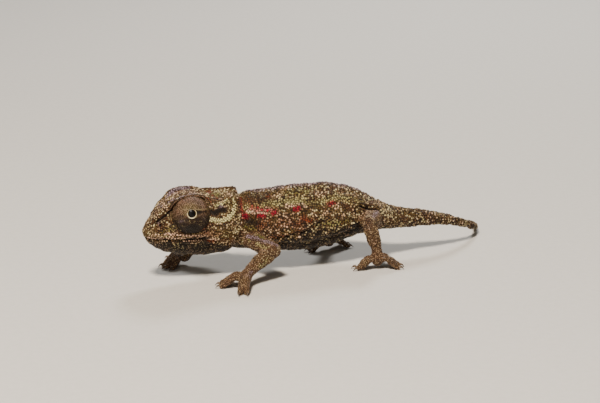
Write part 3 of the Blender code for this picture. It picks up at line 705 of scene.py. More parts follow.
def make_hide():
    """The whole animal's hide as one closed surface, inside the beads that cover it."""
    pieces = [trunk_body(), tube("tail", TAIL, TAIL_NARROWNESS, 40), skull_body()]
    pieces += [tube("brow", [(x, side * y, z, r) for x, y, z, r in BROW]) for side in (-1, 1)]
    for joints, palm, bundles in FEET.values():
        pieces += leg_bodies(joints, palm, bundles)
    hide = joined("skin", pieces)
    remesh = hide.modifiers.new("one body", "REMESH")
    remesh.mode = "VOXEL"
    remesh.voxel_size = HIDE_VOXEL
    soften = hide.modifiers.new("soften", "SMOOTH")
    soften.iterations = HIDE_SOFTENING
    mesh = applied(hide).data
    orbit_folds = tuple(
        (orbit_arc(radius, start, end), ORBIT_FOLD_WIDTH, height)
        for radius, start, end, height in ORBIT_FOLDS
    )
    sculpt(mesh, FOLDS + lip_lines() + orbit_folds, SWELLINGS)
    unevenness(mesh)
    refine(mesh, near_details)
    refine(mesh, near_mouth)
    hollow_sockets(mesh)
    finest_forms(mesh)
    points = points_of(mesh) - normals_of(mesh) * BEAD_DEPTH
    points[:, 2] = np.maximum(points[:, 2], SOLE_HEIGHT)
    set_points(mesh, points)
    return hide


# Where each colour goes

FLANK_BAND = (
    (16.1, 2.1, 10.9), (19.6, 2.4, 11.2), (23.9, 2.5, 11.5), (27.4, 2.9, 10.9), (31.3, 2.4, 11.2),
    (33.0, 2.4, 10.9),
)
BACK_LINE = ((17.5, 0.0, 13.1), (21.0, 0.0, 13.3), (26.0, 0.0, 13.4), (31.0, 0.0, 13.1), (36.0, 0.0, 11.4))
# Every mark is (colour, strength, half width, line or spot on one side)
MARKS = (
    ("crimson", 1.25, 0.45, ((15.7, 2.6, 9.75), (16.2, 2.7, 9.8))),
    ("crimson", 0.72, 0.45, ((18.0, 2.9, 9.75), (19.0, 3.0, 9.6))),
    ("crimson", 0.85, 0.42, ((20.3, 3.1, 9.85), (20.7, 3.1, 9.95))),
    ("crimson", 0.85, 0.45, ((23.8, 3.2, 10.1), (24.5, 3.1, 10.3))),
    ("crimson", 0.6, 0.5, ((29.6, 2.9, 10.4), (30.6, 2.8, 10.5))),
    ("crimson", 0.48, 0.6, ((17.0, 2.4, 11.1), (19.0, 2.8, 10.5), (20.8, 3.0, 10.2))),
    ("crimson", 0.42, 0.35, ((15.7, 1.2, 11.9), (15.5, 2.3, 10.9), (15.7, 2.7, 10.0))),
    ("rust", 0.8, 0.6, ((15.7, 1.1, 12.2),)),
    ("rust", 0.7, 0.4, ((15.4, 2.0, 11.6), (15.5, 2.6, 10.6))),
    ("rust", 0.8, 0.5, ((20.1, 1.6, 12.3),)),
    ("rust", 0.42, 0.45, ((19.6, 3.5, 6.4), (21.8, 3.7, 6.3), (23.4, 3.9, 6.5), (25.3, 4.0, 6.9))),
    ("rust", 0.6, 0.7, ((25.1, 3.9, 8.8), (26.2, 4.0, 8.4))),
    ("rust", 0.4, 1.3, ((18.0, 3.4, 8.2), (24.0, 3.9, 8.0))),
    ("rust", 0.6, 0.5, (NOSTRIL,)),
    ("rust", 0.28, 0.6, ((0.8, 1.3, 8.7), (3.2, 2.4, 9.0))),
    # Painted shade in the pit of the nostril
    ("dark_and_shade", 0.85, 0.34, (NOSTRIL,)),
    ("lilac", 0.55, 0.3, ((2.1, 1.7, 9.9),)),
    ("lilac", 0.85, 0.28, ((11.6, 2.95, 11.9), (12.1, 2.9, 11.85))),
    ("rust", 0.33, 0.8, ((8.5, 3.4, 8.0), (11.5, 3.6, 7.6))),
    ("rust", 0.45, 1.1, ((16.3, 1.6, 12.4), (17.8, 2.4, 11.6))),
    ("dark_and_shade", 0.42, 1.3, ((16.2, 1.2, 12.8), (17.6, 1.8, 12.4), (20.0, 2.0, 12.2))),
    ("rust", 0.7, 0.35, ((9.5, 3.2, 6.65), (10.7, 3.2, 6.5))),
    ("rust", 0.5, 0.2, orbit_arc(3.58, 12, 48)),
    ("rust", 0.5, 0.2, orbit_arc(4.3, 15, 42)),
    ("rust", 1.1, 0.45, ((10.6, 0.9, 13.8),)),
    ("rust", 0.5, 0.45, ((10.9, 1.8, 13.3), (11.4, 2.4, 12.9))),
    ("rust", 0.45, 0.35, ((8.0, 4.6, 9.4), (9.2, 3.9, 9.5))),
    ("tan", 0.9, 0.17, orbit_arc(3.12, 35, 175)),
    ("band", 0.5, 0.95, FLANK_BAND),
    ("band", 0.75, 0.8, ((22.8, 2.5, 11.4), (24.7, 2.6, 11.3))),
    ("band", 0.4, 0.8, ((23.6, 1.3, 12.7), (29.5, 1.1, 12.8))),
    ("cream", 0.95, 0.36, CHEEK_BAND[:5]),
    ("cream", 0.45, 0.4, CHEEK_BAND[4:]),
    ("cream", 0.75, 0.26, ((12.95, 2.6, 12.6), (12.3, 2.8, 12.25), (11.5, 2.95, 12.2), (10.9, 3.0, 12.1))),
    ("cream", 0.42, 0.15, ((2.6, 1.9, 6.35), (5.4, 2.3, 6.33), (7.4, 2.6, 6.28))),
    ("cream", 0.8, 0.35, ((16.6, 2.5, 10.3),)),
    ("cream", 0.3, 0.4, ((10.0, 2.6, 13.5), (10.9, 2.9, 12.9))),
    ("dark_and_shade", 0.9, 0.4, ((9.9, 3.1, 11.25), (10.7, 3.2, 11.0))),
    ("dark_and_shade", 0.8, 0.48, ((10.9, 3.1, 10.9), (11.5, 3.0, 11.2), (12.4, 3.0, 11.2))),
    # Painted shade along the sunken groove from the nostril up to the eye
    ("dark_and_shade", 1.2, 0.25, CANTHUS_GROOVE),
    # Painted shade along the slit of the mouth
    ("dark_and_shade", 1.2, 0.1, tuple((x, y, z - 0.42) for x, y, z in lip_lines()[0][0][:-1])),
    ("dark_and_shade", 0.68, 0.7, ((16.2, 2.9, 8.9), (17.4, 3.1, 8.7))),
    ("dark_and_shade", 0.7, 0.25, ((21.0, 2.0, 11.9),)),
    ("dark_and_shade", 0.7, 0.2, ((22.3, 2.0, 12.0),)),
    ("dark_and_shade", 0.8, 0.25, ((27.1, 3.3, 10.3),)),
    ("dark_and_shade", 0.7, 0.2, ((26.1, 2.65, 11.3),)),
    # Painted shade in the creases of the hip and the flank, and under the front of the thigh where it meets
    # the belly
    ("dark_and_shade", 1.1, 0.24, HIP_CREASE),
    ("dark_and_shade", 0.8, 0.25, FLANK_FOLD[1:]),
    ("dark_and_shade", 0.7, 0.6, ((34.4, 3.4, 6.5), (34.5, 2.7, 5.4))),
    # Painted shade at the corner of the mouth
    ("dark_and_shade", 1.0, 0.28, ((8.1, 2.9, 7.05), (9.3, 3.4, 7.05))),
    ("lilac", 0.5, 0.8, BACK_LINE),
    ("lilac", 0.75, 0.42, ((4.2, 1.1, 12.9), (5.2, 1.55, 13.6), (6.6, 1.85, 14.1), (8.2, 1.8, 14.1))),
    ("lilac", 0.5, 0.5, ((2.9, 0.6, 12.0),)),
    ("lilac", 0.35, 0.5, ((9.6, 0.0, 14.2), (12.7, 0.0, 14.1))),
    ("olive", 0.45, 0.8, ((15.9, 3.0, 8.1), (17.2, 3.3, 7.6))),
    ("olive", 0.5, 0.9, ((11.5, 1.6, 13.4),)),
    ("olive", 0.4, 0.9, ((4.6, 2.8, 9.4), (3.0, 2.3, 8.5))),
    ("olive", 0.45, 0.8, ((23.0, 1.5, 12.6), (27.0, 1.6, 12.7))),
    ("olive", 0.4, 1.2, ((33.5, 2.6, 10.7), (36.0, 2.3, 10.2))),
    ("olive", 0.4, 1.0, ((28.0, 4.1, 7.5), (32.0, 4.0, 7.6))),
    ("lip", 1.1, 0.22, tuple((x, y, z - 0.2) for x, y, z in lip_lines()[0][0])),
    ("lip", 0.95, 0.19, tuple((x, 3.0, z) for x, z in UPPER_LIP_ROW[1:])),
    ("lip", 0.65, 0.2, tuple((x, y, z + 0.2) for x, y, z in lip_lines()[1][0][2:-1])),
    ("lilac", 0.6, 0.5, ((16.0, 3.6, 7.0), (17.8, 5.2, 6.6), (19.6, 6.6, 5.9))),
    ("band", 0.5, 0.45, ((16.9, 5.0, 5.9), (18.2, 6.4, 5.4))),
    ("band", 0.5, 0.5, ((17.4, 6.9, 3.9), (16.4, 7.6, 3.2))),
    ("lilac", 0.45, 0.4, ((14.9, 8.3, 2.6), (14.2, 9.3, 2.0))),
    ("lilac", 0.45, 0.5, ((37.6, 3.0, 8.2), (36.4, 5.2, 8.4))),
    ("rust", 0.55, 0.9, ((16.0, 2.2, 12.2), (16.6, 2.9, 10.8))),
    ("lip", 0.62, 0.55, ((16.6, 2.6, 10.7), (18.4, 2.9, 10.4), (20.0, 3.1, 10.6))),
    ("lip", 0.5, 0.5, ((22.6, 3.0, 10.9), (25.6, 3.2, 10.7))),
    ("lip", 0.3, 1.0, ((19.5, 3.7, 7.6), (23.0, 4.0, 7.9))),
    ("olive", 0.6, 0.45, ((17.6, 3.9, 6.8), (18.0, 4.5, 6.6))),
    ("olive", 0.55, 0.4, ((18.9, 5.6, 6.3),)),
    ("olive", 0.55, 0.45, ((15.2, 4.4, 6.9),)),
)
# Where the painted shade of jaw and belly ends, as (back from the snout, height)
SHADE_EDGE = (
    (0.0, 7.0), (6.0, 6.9), (10.0, 6.6), (12.5, 5.9), (14.0, 5.7), (17.0, 5.7), (20.8, 5.7), (24.0, 6.3),
    (27.4, 7.2), (31.0, 6.9), (34.5, 7.2), (38.0, 6.0), (43.0, 5.2),
)
# Each mark's strength is kept in a part of one of these attributes, three marks in each
COLOUR_NAMES = ("crimson", "rust", "band", "cream", "dark_and_shade", "lilac", "tan", "olive", "lip")
MARK_LAYERS = ("marks_a", "marks_b", "marks_c")


def leg_share(points, from_share=0.3):
    """How much each point belongs to a leg, and how much to a foot."""
    leg = np.zeros(len(points))
    foot = np.zeros(len(points))
    for joints, palm, bundles in FEET.values():
        (root, _), (knee, middle), (ankle, _) = joints
        start = between(root, knee, from_share)
        gap = distance_to_line(points, (start, knee)) - middle * 1.1
        gap = np.minimum(gap, distance_to_line(points, (knee, ankle)) - middle)
        leg = np.maximum(leg, 1 - step_up(0.1, 0.6, gap))
        gap = distance_to_line(points, (ankle, (*palm, PALM_HEIGHT))) - 1.1
        for knots in toe_paths(palm, bundles):
            gap = np.minimum(gap, distance_to_line(points, [row[:3] for row in knots]) - 0.6)
        foot = np.maximum(foot, 1 - step_up(0.1, 0.5, gap))
    return np.maximum(leg, foot), foot


def marks_on(hide):
    """The marks with their lines drawn to the hide."""
    surface = surface_of(hide.data)
    return [(colour, strength, width, laid_on(surface, line)) for colour, strength, width, line in MARKS]


def marks_at(points, chance, spread=0.45):
    """Strength of each colour at the points, with painted shade under the jaw and belly, broken up bead by
    bead.
    """
    half = one_side(points)
    found = dict.fromkeys(COLOUR_NAMES, 0.0)
    for colour, strength, width, line in laid_marks:
        mask = strength * bell(distance_to_line(half, line), width)
        found[colour] = np.maximum(found[colour], mask)
    x, z = points[:, 0], points[:, 2]
    leg, foot = leg_share(points)
    # Painted shade: below this edge the jaw and belly darken, as under a light from above, and some beads are
    # left out of it
    edge = np.interp(x, *zip(*SHADE_EDGE)) + 0.22 * np.sin(2.3 * x) + 0.16 * np.sin(5.1 * x + 1)
    shade = (1 - step_up(-1.5, 0.7, z - edge)) * (1 - leg) * (1 - step_up(39.0, 45.0, x))
    for colour in COLOUR_NAMES:
        found[colour] = step_up(0.22, 0.75, found[colour] + (chance - 0.5) * spread)
    found["tan"] = np.maximum(found["tan"], 0.58 * leg + 0.12 * foot)
    sparkle = 0.42 + 0.44 * step_up(14.0, 20.0, x)
    shade = (0.97 - 0.25 * step_up(0.5, 0.9, chance)) * step_up(0.1, 0.62, shade - sparkle * (chance - 0.4))
    found["dark_and_shade"] = np.maximum(found["dark_and_shade"], shade)
    return np.column_stack([np.broadcast_to(found[c], len(points)) for c in COLOUR_NAMES])


def give_marks(mesh, roots, chance, tint=None):
    """Writes what the hide's materials read: place, chance and the strength of each colour."""
    marks = marks_at(roots, chance) if tint is None else tint
    rows = {"root": roots, **dict(zip(MARK_LAYERS, np.hsplit(marks, 3))), "chance": chance}
    for name, values in rows.items():
        store(mesh, name, values)


# Materials


def linear(colour):
    """A linear colour from an sRGB hex value."""
    parts = [int(colour[i : i + 2], 16) / 255 for i in (1, 3, 5)]
    return (*[p / 12.92 if p <= 0.04045 else ((p + 0.055) / 1.055) ** 2.4 for p in parts], 1.0)


def add(tree, kind, inputs=None, stops=(), **settings):
    """Adds a node with its settings, its inputs' values or links, and a ramp's stops in sRGB."""
    made = tree.nodes.new(kind)
    for name, value in settings.items():
        setattr(made, name, value)
    for key, value in (inputs or {}).items():
        if isinstance(value, bpy.types.NodeSocket):
            tree.links.new(value, made.inputs[key])
        else:
            made.inputs[key].default_value = value
    for i, (place, colour) in enumerate(stops):
        ramp = made.color_ramp.elements
        stop = ramp[i] if i < 2 else ramp.new(place)
        stop.position, stop.color = place, linear(colour)
    return made


def new_material(name, **shader_values):
    """A material with its Principled shader's own sockets set."""
    material = bpy.data.materials.new(name)
    material.use_nodes = True
    shader = material.node_tree.nodes["Principled BSDF"]
    for socket, value in shader_values.items():
        shader.inputs[socket.replace("_", " ").title().replace("Ior", "IOR")].default_value = value
    return material, material.node_tree, shader


# What each mark looks like on the hide
TINTS = {
    "tan": "#7c5d45",
    "olive": "#77722f",
    "rust": "#853a20",
    "band": "#b9ad74",
    "lilac": "#9a848c",
    "lip": "#ecc3a4",
    "cream": "#f4e8a8",
    # Near black: the hide's own dark spots, and painted shade in creases, pits, the mouth, under the jaw and
    # belly, and on the lids' lower half
    "dark_and_shade": "#1a0e05",
    "crimson": "#a01430",
}


def hide_colours(tree):
    """The beaded hide's colours from its own attributes: ground, scattered light and dark beads, marks."""
    root = add(tree, "ShaderNodeAttribute", attribute_name="root").outputs["Vector"]
    chance = add(tree, "ShaderNodeAttribute", attribute_name="chance").outputs["Fac"]
    patches = add(
        tree, "ShaderNodeTexNoise", {"Vector": root, "Scale": 0.42, "Detail": 3.0, "Roughness": 0.6}
    )
    colour = add(
        tree,
        "ShaderNodeValToRGB",
        {"Fac": patches.outputs["Fac"]},
        stops=(
            (0.34, "#48301c"),
            (0.66, "#80623a"),
            (0.44, "#674529"),
            (0.55, "#66502b"),
        ),
    ).outputs["Color"]
    flecks = add(tree, "ShaderNodeTexNoise", {"Vector": root, "Scale": 1.1, "Detail": 2.0})
    lifted = add(
        tree,
        "ShaderNodeMath",
        {0: flecks.outputs["Fac"], 1: 0.9, 2: chance},
        operation="MULTIPLY_ADD",
    ).outputs["Value"]
    light = add(
        tree, "ShaderNodeMapRange", {"Value": lifted, "From Min": 1.02, "From Max": 1.42, "To Max": 0.92}
    )
    dark = add(
        tree, "ShaderNodeMapRange", {"Value": lifted, "From Min": 0.84, "From Max": 0.52, "To Max": 0.8}
    )
    hue = add(tree, "ShaderNodeTexNoise", {"Vector": root, "Scale": 0.6, "Detail": 1.0}).outputs["Fac"]
    pale = add(
        tree,
        "ShaderNodeValToRGB",
        {"Fac": hue},
        stops=((0.4, "#dfbb97"), (0.6, "#dccb9a")),
    ).outputs["Color"]
    for factor, tint in ((light.outputs["Result"], pale), (dark.outputs["Result"], linear("#2c1a0e"))):
        mixed = add(tree, "ShaderNodeMix", {"Factor": factor, 6: colour, 7: tint}, data_type="RGBA")
        colour = mixed.outputs[2]
    strengths = {}
    for first, layer in enumerate(MARK_LAYERS):
        marks = add(tree, "ShaderNodeAttribute", attribute_name=layer)
        parts = add(tree, "ShaderNodeSeparateXYZ", {0: marks.outputs["Vector"]})
        strengths.update(zip(COLOUR_NAMES[3 * first :], parts.outputs))
    for name, tint in TINTS.items():
        mixed = add(
            tree, "ShaderNodeMix", {"Factor": strengths[name], 6: colour, 7: linear(tint)}, data_type="RGBA"
        )
        colour = mixed.outputs[2]
    value = add(tree, "ShaderNodeMapRange", {"Value": chance, "To Min": 0.56, "To Max": 1.16})
    toned = add(
        tree,
        "ShaderNodeHueSaturation",
        {"Saturation": 1.04, "Value": value.outputs["Result"], "Color": colour},
    )
    return toned.outputs[0], chance


def hide_material():
    """Reptile skin between the beads: soft, matt and dark, since little light reaches it."""
    material, tree, shader = new_material("reptile_skin", roughness=0.75, specular_ior_level=0.2)
    colour, _ = hide_colours(tree)
    place = add(tree, "ShaderNodeTexCoord").outputs["Object"]
    # Grains of 0.05 mm are far below what the render resolves, so they are drawn at 0.09 mm
    grain = add(tree, "ShaderNodeTexVoronoi", {"Vector": place, "Scale": 11000.0})
    bump = add(
        tree,
        "ShaderNodeBump",
        {"Height": grain.outputs["Distance"], "Distance": 0.00003, "Strength": 0.8},
        invert=True,
    )
    shade = add(
        tree, "ShaderNodeMix", {"Factor": 0.8, 6: colour, 7: linear("#0e0805")}, data_type="RGBA"
    ).outputs[2]
    tree.links.new(shade, shader.inputs["Base Color"])
    tree.links.new(bump.outputs["Normal"], shader.inputs["Normal"])
    return material


def bead_material():
    """Keratin of the beads: hard and waxy, so each holds a small clear highlight."""
    material, tree, shader = new_material(
        "keratin_beads", roughness=0.42, specular_ior_level=0.16, coat_weight=0.26, coat_roughness=0.1
    )
    colour, chance = hide_colours(tree)
    local = add(tree, "ShaderNodeAttribute", attribute_name="local").outputs["Vector"]
    rise = add(tree, "ShaderNodeSeparateXYZ", {0: local}).outputs["Z"]
    # Painted shade: each bead darkens to near black towards its foot, where it meets its neighbours
    foot = add(tree, "ShaderNodeMapRange", {"Value": rise, "From Min": 0.7, "From Max": 0.16, "To Max": 0.94})
    colour = add(
        tree,
        "ShaderNodeMix",
        {"Factor": foot.outputs["Result"], 6: colour, 7: linear("#120b06")},
        data_type="RGBA",
    ).outputs[2]
    place = add(tree, "ShaderNodeTexCoord").outputs["Object"]
    grain = add(tree, "ShaderNodeTexNoise", {"Vector": place, "Scale": 16000.0, "Detail": 2.0})
    bump = add(tree, "ShaderNodeBump", {"Height": grain.outputs["Fac"], "Distance": 0.00001, "Strength": 0.5})
    rough = add(tree, "ShaderNodeMapRange", {"Value": chance, "To Min": 0.5, "To Max": 0.34})
    tree.links.new(colour, shader.inputs["Base Color"])
    tree.links.new(rough.outputs["Result"], shader.inputs["Roughness"])
    tree.links.new(bump.outputs["Normal"], shader.inputs["Normal"])
    return material


def claw_material():
    """Horn of the claws: pale at the root, dark and half clear at the tip, with lengthwise grain."""
    material, tree, shader = new_material("horn_claw", roughness=0.32)
    share = add(tree, "ShaderNodeAttribute", attribute_name="length_share").outputs["Fac"]
    tone = add(
        tree,
        "ShaderNodeValToRGB",
        {"Fac": share},
        stops=((0.0, "#8c7456"), (1.0, "#2a1d14"), (0.5, "#5e4630")),
    )
    place = add(tree, "ShaderNodeTexCoord").outputs["Object"]
    grain = add(tree, "ShaderNodeTexNoise", {"Vector": place, "Scale": 9000.0, "Detail": 2.0})
    mixed = add(
        tree,
        "ShaderNodeMix",
        {"Factor": grain.outputs["Fac"], 6: tone.outputs["Color"], 7: linear("#3a2a1d")},
        data_type="RGBA",
    )
    bump = add(tree, "ShaderNodeBump", {"Height": grain.outputs["Fac"], "Distance": 0.00001, "Strength": 0.4})
    tree.links.new(mixed.outputs[2], shader.inputs["Base Color"])
    tree.links.new(bump.outputs["Normal"], shader.inputs["Normal"])
    return material


def eye_material():
    """A wet eyeball: a round black pupil in a thin, dark gold iris under a clear, glossy front."""
    material, tree, shader = new_material(
        "wet_eyeball", roughness=0.5, specular_ior_level=0.1, coat_weight=0.25, coat_roughness=0.02
    )
    off_axis = add(tree, "ShaderNodeAttribute", attribute_name="off_axis").outputs["Fac"]
    place = add(tree, "ShaderNodeTexCoord").outputs["Object"]
    threads = add(tree, "ShaderNodeTexNoise", {"Vector": place, "Scale": 9000.0, "Detail": 3.0})
    spread = add(
        tree, "ShaderNodeMath", {0: threads.outputs["Fac"], 1: 0.08, 2: off_axis}, operation="MULTIPLY_ADD"
    )
    tone = add(
        tree,
        "ShaderNodeValToRGB",
        {"Fac": spread.outputs["Value"]},
        stops=(
            (0.0, "#020101"),
            (1.0, "#120a05"),
            (0.58, "#020101"),
            (0.62, "#3d260e"),
            (0.67, "#1c0f06"),
        ),
    )
    tree.links.new(tone.outputs["Color"], shader.inputs["Base Color"])
    return material


def margin_material():
    """The bare, moist edge of the lids: smooth cream skin with a soft shine."""
    material, tree, shader = new_material(
        "bare_lid_edge", roughness=0.35, coat_weight=0.2, coat_roughness=0.2
    )
    place = add(tree, "ShaderNodeTexCoord").outputs["Object"]
    blotch = add(tree, "ShaderNodeTexNoise", {"Vector": place, "Scale": 3000.0, "Detail": 2.0})
    tone = add(
        tree,
        "ShaderNodeValToRGB",
        {"Fac": blotch.outputs["Fac"]},
        stops=((0.35, "#c4ae78"), (0.65, "#eee2b8")),
    )
    # Painted shade: the upper part of the edge is darkened towards olive brown
    upper = add(tree, "ShaderNodeAttribute", attribute_name="upper").outputs["Fac"]
    upper_shade = add(tree, "ShaderNodeMapRange", {"Value": upper, "From Min": 0.1, "From Max": 0.9, "To Max": 0.7})
    tone = add(
        tree,
        "ShaderNodeMix",
        {"Factor": upper_shade.outputs["Result"], 6: tone.outputs["Color"], 7: linear("#6e5a30")},
        data_type="RGBA",
    )
    bump = add(
        tree, "ShaderNodeBump", {"Height": blotch.outputs["Fac"], "Distance": 0.00002, "Strength": 0.4}
    )
    tree.links.new(tone.outputs[2], shader.inputs["Base Color"])
    tree.links.new(bump.outputs["Normal"], shader.inputs["Normal"])
    return material


def floor_material():
    """Matt studio paper: an even, pale ground with a barely visible tooth."""
    material, tree, shader = new_material("studio_paper", roughness=0.85, specular_ior_level=0.2)
    place = add(tree, "ShaderNodeTexCoord").outputs["Object"]
    tooth = add(tree, "ShaderNodeTexNoise", {"Vector": place, "Scale": 900.0, "Detail": 3.0})
    tone = add(
        tree,
        "ShaderNodeValToRGB",
        {"Fac": tooth.outputs["Fac"]},
        stops=((0.3, "#d6d2ca"), (0.7, "#dad6cf")),
    )
    tree.links.new(tone.outputs["Color"], shader.inputs["Base Color"])
    return material


# Beads

# Share of two beads' radii that their roots keep apart, and how far a bead fills its room
BEAD_PACKING = 0.78
BEAD_SWELL = 1.07
CANDIDATES_PER_BEAD = 12
# The widest neighbour, against a bead's own radius
WIDEST_NEIGHBOUR = 1.3
# A bead's size against the usual one of its place: the least, and what chance adds
SMALLEST_BEAD = 0.5
BEAD_SPREAD = 0.66
# Large beads: the draw from which a bead is one, its size against the usual, what chance adds
LARGE_BEADS_FROM = 0.9982
LARGE_BEAD = 1.25
LARGE_BEAD_SPREAD = 0.3
# Beads round the rim of a socket, and their pitch
RIM_BEAD = 0.155
RIM_PITCH = 0.34
# A bead is a ball of this many sides, cut at this height
DOME_SIDES = 8
DOME_CUT = -0.2
# Share of the hide's faces that its unwrap keeps
UNWRAP_FACES = 0.06
# Half width of a bead's patch on the unwrap
PATCH = 0.0014
# How deep a bead sits, as a share of its height, and how dented it is, in metres
BEAD_SINK = 0.2
BEAD_DENTS = 0.00011


def bead_tree(material):
    """Geometry Nodes that set one low dome on each point, turned and sized by its attributes."""
    tree = bpy.data.node_groups.new("beads", "GeometryNodeTree")
    face = tree.interface
    kinds = {"Roots": "Geometry", "Sides": "Int", "Sink": "Float", "Patch": "Float", "Dents": "Float"}
    inputs = {
        name: face.new_socket(name, in_out="INPUT", socket_type="NodeSocket" + kind)
        for name, kind in kinds.items()
    }
    face.new_socket("Beads", in_out="OUTPUT", socket_type="NodeSocketGeometry")
    given = add(tree, "NodeGroupInput").outputs
    sphere = add(tree, "GeometryNodeMeshUVSphere", {"Segments": given["Sides"], "Rings": 4, "Radius": 1.0})
    position = add(tree, "GeometryNodeInputPosition").outputs[0]
    height = add(tree, "ShaderNodeSeparateXYZ", {0: position}).outputs["Z"]
    below = add(tree, "FunctionNodeCompare", {0: height, 1: DOME_CUT}, operation="LESS_THAN")
    dome = add(tree, "GeometryNodeDeleteGeometry", {0: sphere.outputs["Mesh"], 1: below.outputs[0]})
    drop = add(tree, "ShaderNodeMath", {0: given["Sink"], 1: -1.0}, operation="MULTIPLY").outputs[0]
    down = add(tree, "ShaderNodeCombineXYZ", {2: drop}).outputs[0]
    dome = add(tree, "GeometryNodeTransform", {"Geometry": dome.outputs[0], "Translation": down})
    dome = add(tree, "GeometryNodeSetShadeSmooth", {0: dome.outputs[0]})
    dome = add(
        tree,
        "GeometryNodeStoreNamedAttribute",
        {"Geometry": dome.outputs[0], "Name": "local", "Value": position},
        data_type="FLOAT_VECTOR",
        domain="POINT",
    )
    read = {}
    for name in ("facing", "along", "reach", "root_uv", "local"):
        named = add(tree, "GeometryNodeInputNamedAttribute", {"Name": name}, data_type="FLOAT_VECTOR")
        read[name] = named.outputs["Attribute"]
    turn = add(tree, "FunctionNodeAlignRotationToVector", {"Vector": read["facing"]}, axis="Z").outputs[0]
    turn = add(
        tree,
        "FunctionNodeAlignRotationToVector",
        {"Rotation": turn, "Vector": read["along"]},
        axis="X",
        pivot_axis="Z",
    ).outputs[0]
    placed = add(
        tree,
        "GeometryNodeInstanceOnPoints",
        {"Points": given["Roots"], "Instance": dome.outputs[0], "Rotation": turn, "Scale": read["reach"]},
    )
    real = add(tree, "GeometryNodeRealizeInstances", {0: placed.outputs[0]})
    lumps = add(tree, "ShaderNodeTexNoise", {"Vector": position, "Scale": 5200.0, "Detail": 1.0})
    lumps = add(
        tree, "ShaderNodeVectorMath", {0: lumps.outputs["Color"], 1: (0.5, 0.5, 0.5)}, operation="SUBTRACT"
    )
    lumps = add(
        tree, "ShaderNodeVectorMath", {0: lumps.outputs[0], "Scale": given["Dents"]}, operation="SCALE"
    )
    real = add(tree, "GeometryNodeSetPosition", {"Geometry": real.outputs[0], "Offset": lumps.outputs[0]})
    flat = add(
        tree, "ShaderNodeVectorMath", {0: read["local"], 1: given["Patch"]}, operation="MULTIPLY"
    ).outputs[0]
    unwrapped = add(tree, "ShaderNodeVectorMath", {0: flat, 1: read["root_uv"]}, operation="ADD").outputs[0]
    real = add(
        tree,
        "GeometryNodeStoreNamedAttribute",
        {"Geometry": real.outputs[0], "Name": "OFBake", "Value": unwrapped},
        data_type="FLOAT2",
        domain="CORNER",
    )
    done = add(tree, "GeometryNodeSetMaterial", {"Geometry": real.outputs[0], "Material": material})
    add(tree, "NodeGroupOutput", {0: done.outputs[0]})
    return tree, {name: socket.identifier for name, socket in inputs.items()}


def bead_piece(name, tree, inputs, beads):
    """One piece of the coat: a bead at each root, made real."""
    points = new_object(name + "_roots", in_frame(beads["place"]))
    mesh = points.data
    give_marks(mesh, beads["place"], beads["chance"], beads.get("tint"))
    rows = {"facing": beads["facing"], "along": beads["along"], "reach": beads["reach"] * MM}
    rows["root_uv"] = np.pad(beads["uv"], ((0, 0), (0, 1)))
    for key, values in rows.items():
        store(mesh, key, values)
    step = points.modifiers.new("beads", "NODES")
    step.node_group = tree
    sizes = {"Sides": DOME_SIDES, "Sink": BEAD_SINK, "Patch": PATCH, "Dents": BEAD_DENTS}
    for key, value in sizes.items():
        step[inputs[key]] = value
    graph = bpy.context.evaluated_depsgraph_get()
    made = bpy.data.meshes.new_from_object(points.evaluated_get(graph))
    made.name = name
    discard(points)
    for key in ("facing", "root_uv", "along", "reach"):
        made.attributes.remove(made.attributes[key])
    return linked(name, made)


def bead_radius(points):
    """How large the beads are at each point of the hide, in millimetres."""
    x, z = points[:, 0], points[:, 2]
    leg, foot = leg_share(points)
    belly = np.interp(x, [row[0] for row in TRUNK], [row[2] for row in TRUNK])
    chin = np.interp(x, [row[0] for row in HEAD], [row[3] for row in HEAD])
    under = 1 - step_up(0.8, 3.2, z - np.where(x < 14.0, chin, belly))
    size = 0.146 + 0.022 * step_up(14.0, 17.0, x)
    size = size - 0.022 * (1 - step_up(0.5, 5.0, x))
    size = size - 0.035 * under * (x < 42)
    tail = step_up(42.0, 58.0, x)
    size = size * (1 - tail) + 0.12 * tail
    size = size * (1 - leg) + 0.136 * leg
    return size * (1 - foot) + 0.11 * foot


def bead_rows():
    """Beads set in rows, as (line on one side, pitch, radius)."""
    lips = []
    upper_row = np.array(UPPER_LIP_ROW)
    for heights, start, end, pitch, radius in (
        (lambda x: mouth_height(x) + 0.22, 0.3, 10.2, 0.5, 0.19),
        (lambda x: np.interp(x, upper_row[:, 0], upper_row[:, 1]), 0.8, 11.4, 0.48, 0.195),
        (lambda x: mouth_height(x) - 0.15, 0.8, 10.0, 0.38, 0.14),
        (lambda x: mouth_height(x) - 0.72, 2.0, 8.5, 0.44, 0.15),
    ):
        places = np.arange(start, end, 0.4)
        half = head_half(places) * 0.98
        lips.append((np.column_stack([places, half, heights(places)]), pitch, radius))
    brow = [(x, y + 0.1, z + r) for x, y, z, r in BROW]
    back = np.arange(16.5, 43.0, 2.0)
    spine = [(x, 0.0, top + 0.1) for x, top in zip(back, along(TRUNK, back)[:, 0])]
    tail = [(x, y, z + r) for x, y, z, r in TAIL[2:6]]
    rows = lips + [
        (brow[1:], 0.46, 0.24),
        ([(x, y - 0.45, z - 0.05) for x, y, z in brow[1:5]], 0.42, 0.2),
        (spine, 0.6, 0.26),
        (tail, 0.55, 0.2),
        (TEMPLE, 0.36, 0.17),
        (CROWN, 0.42, 0.2),
        (NAPE_EDGE, 0.36, 0.17),
    ]
    middle = np.array((12.0, 3.6, 11.3))
    for shift in (-0.36, 0.0, 0.36):
        outwards = [np.array(p) - middle for p in CHEEK_BAND]
        line = [middle + way * (1 + shift / np.linalg.norm(way)) for way in outwards]
        rows.append((line, 0.41, 0.162))
    return rows


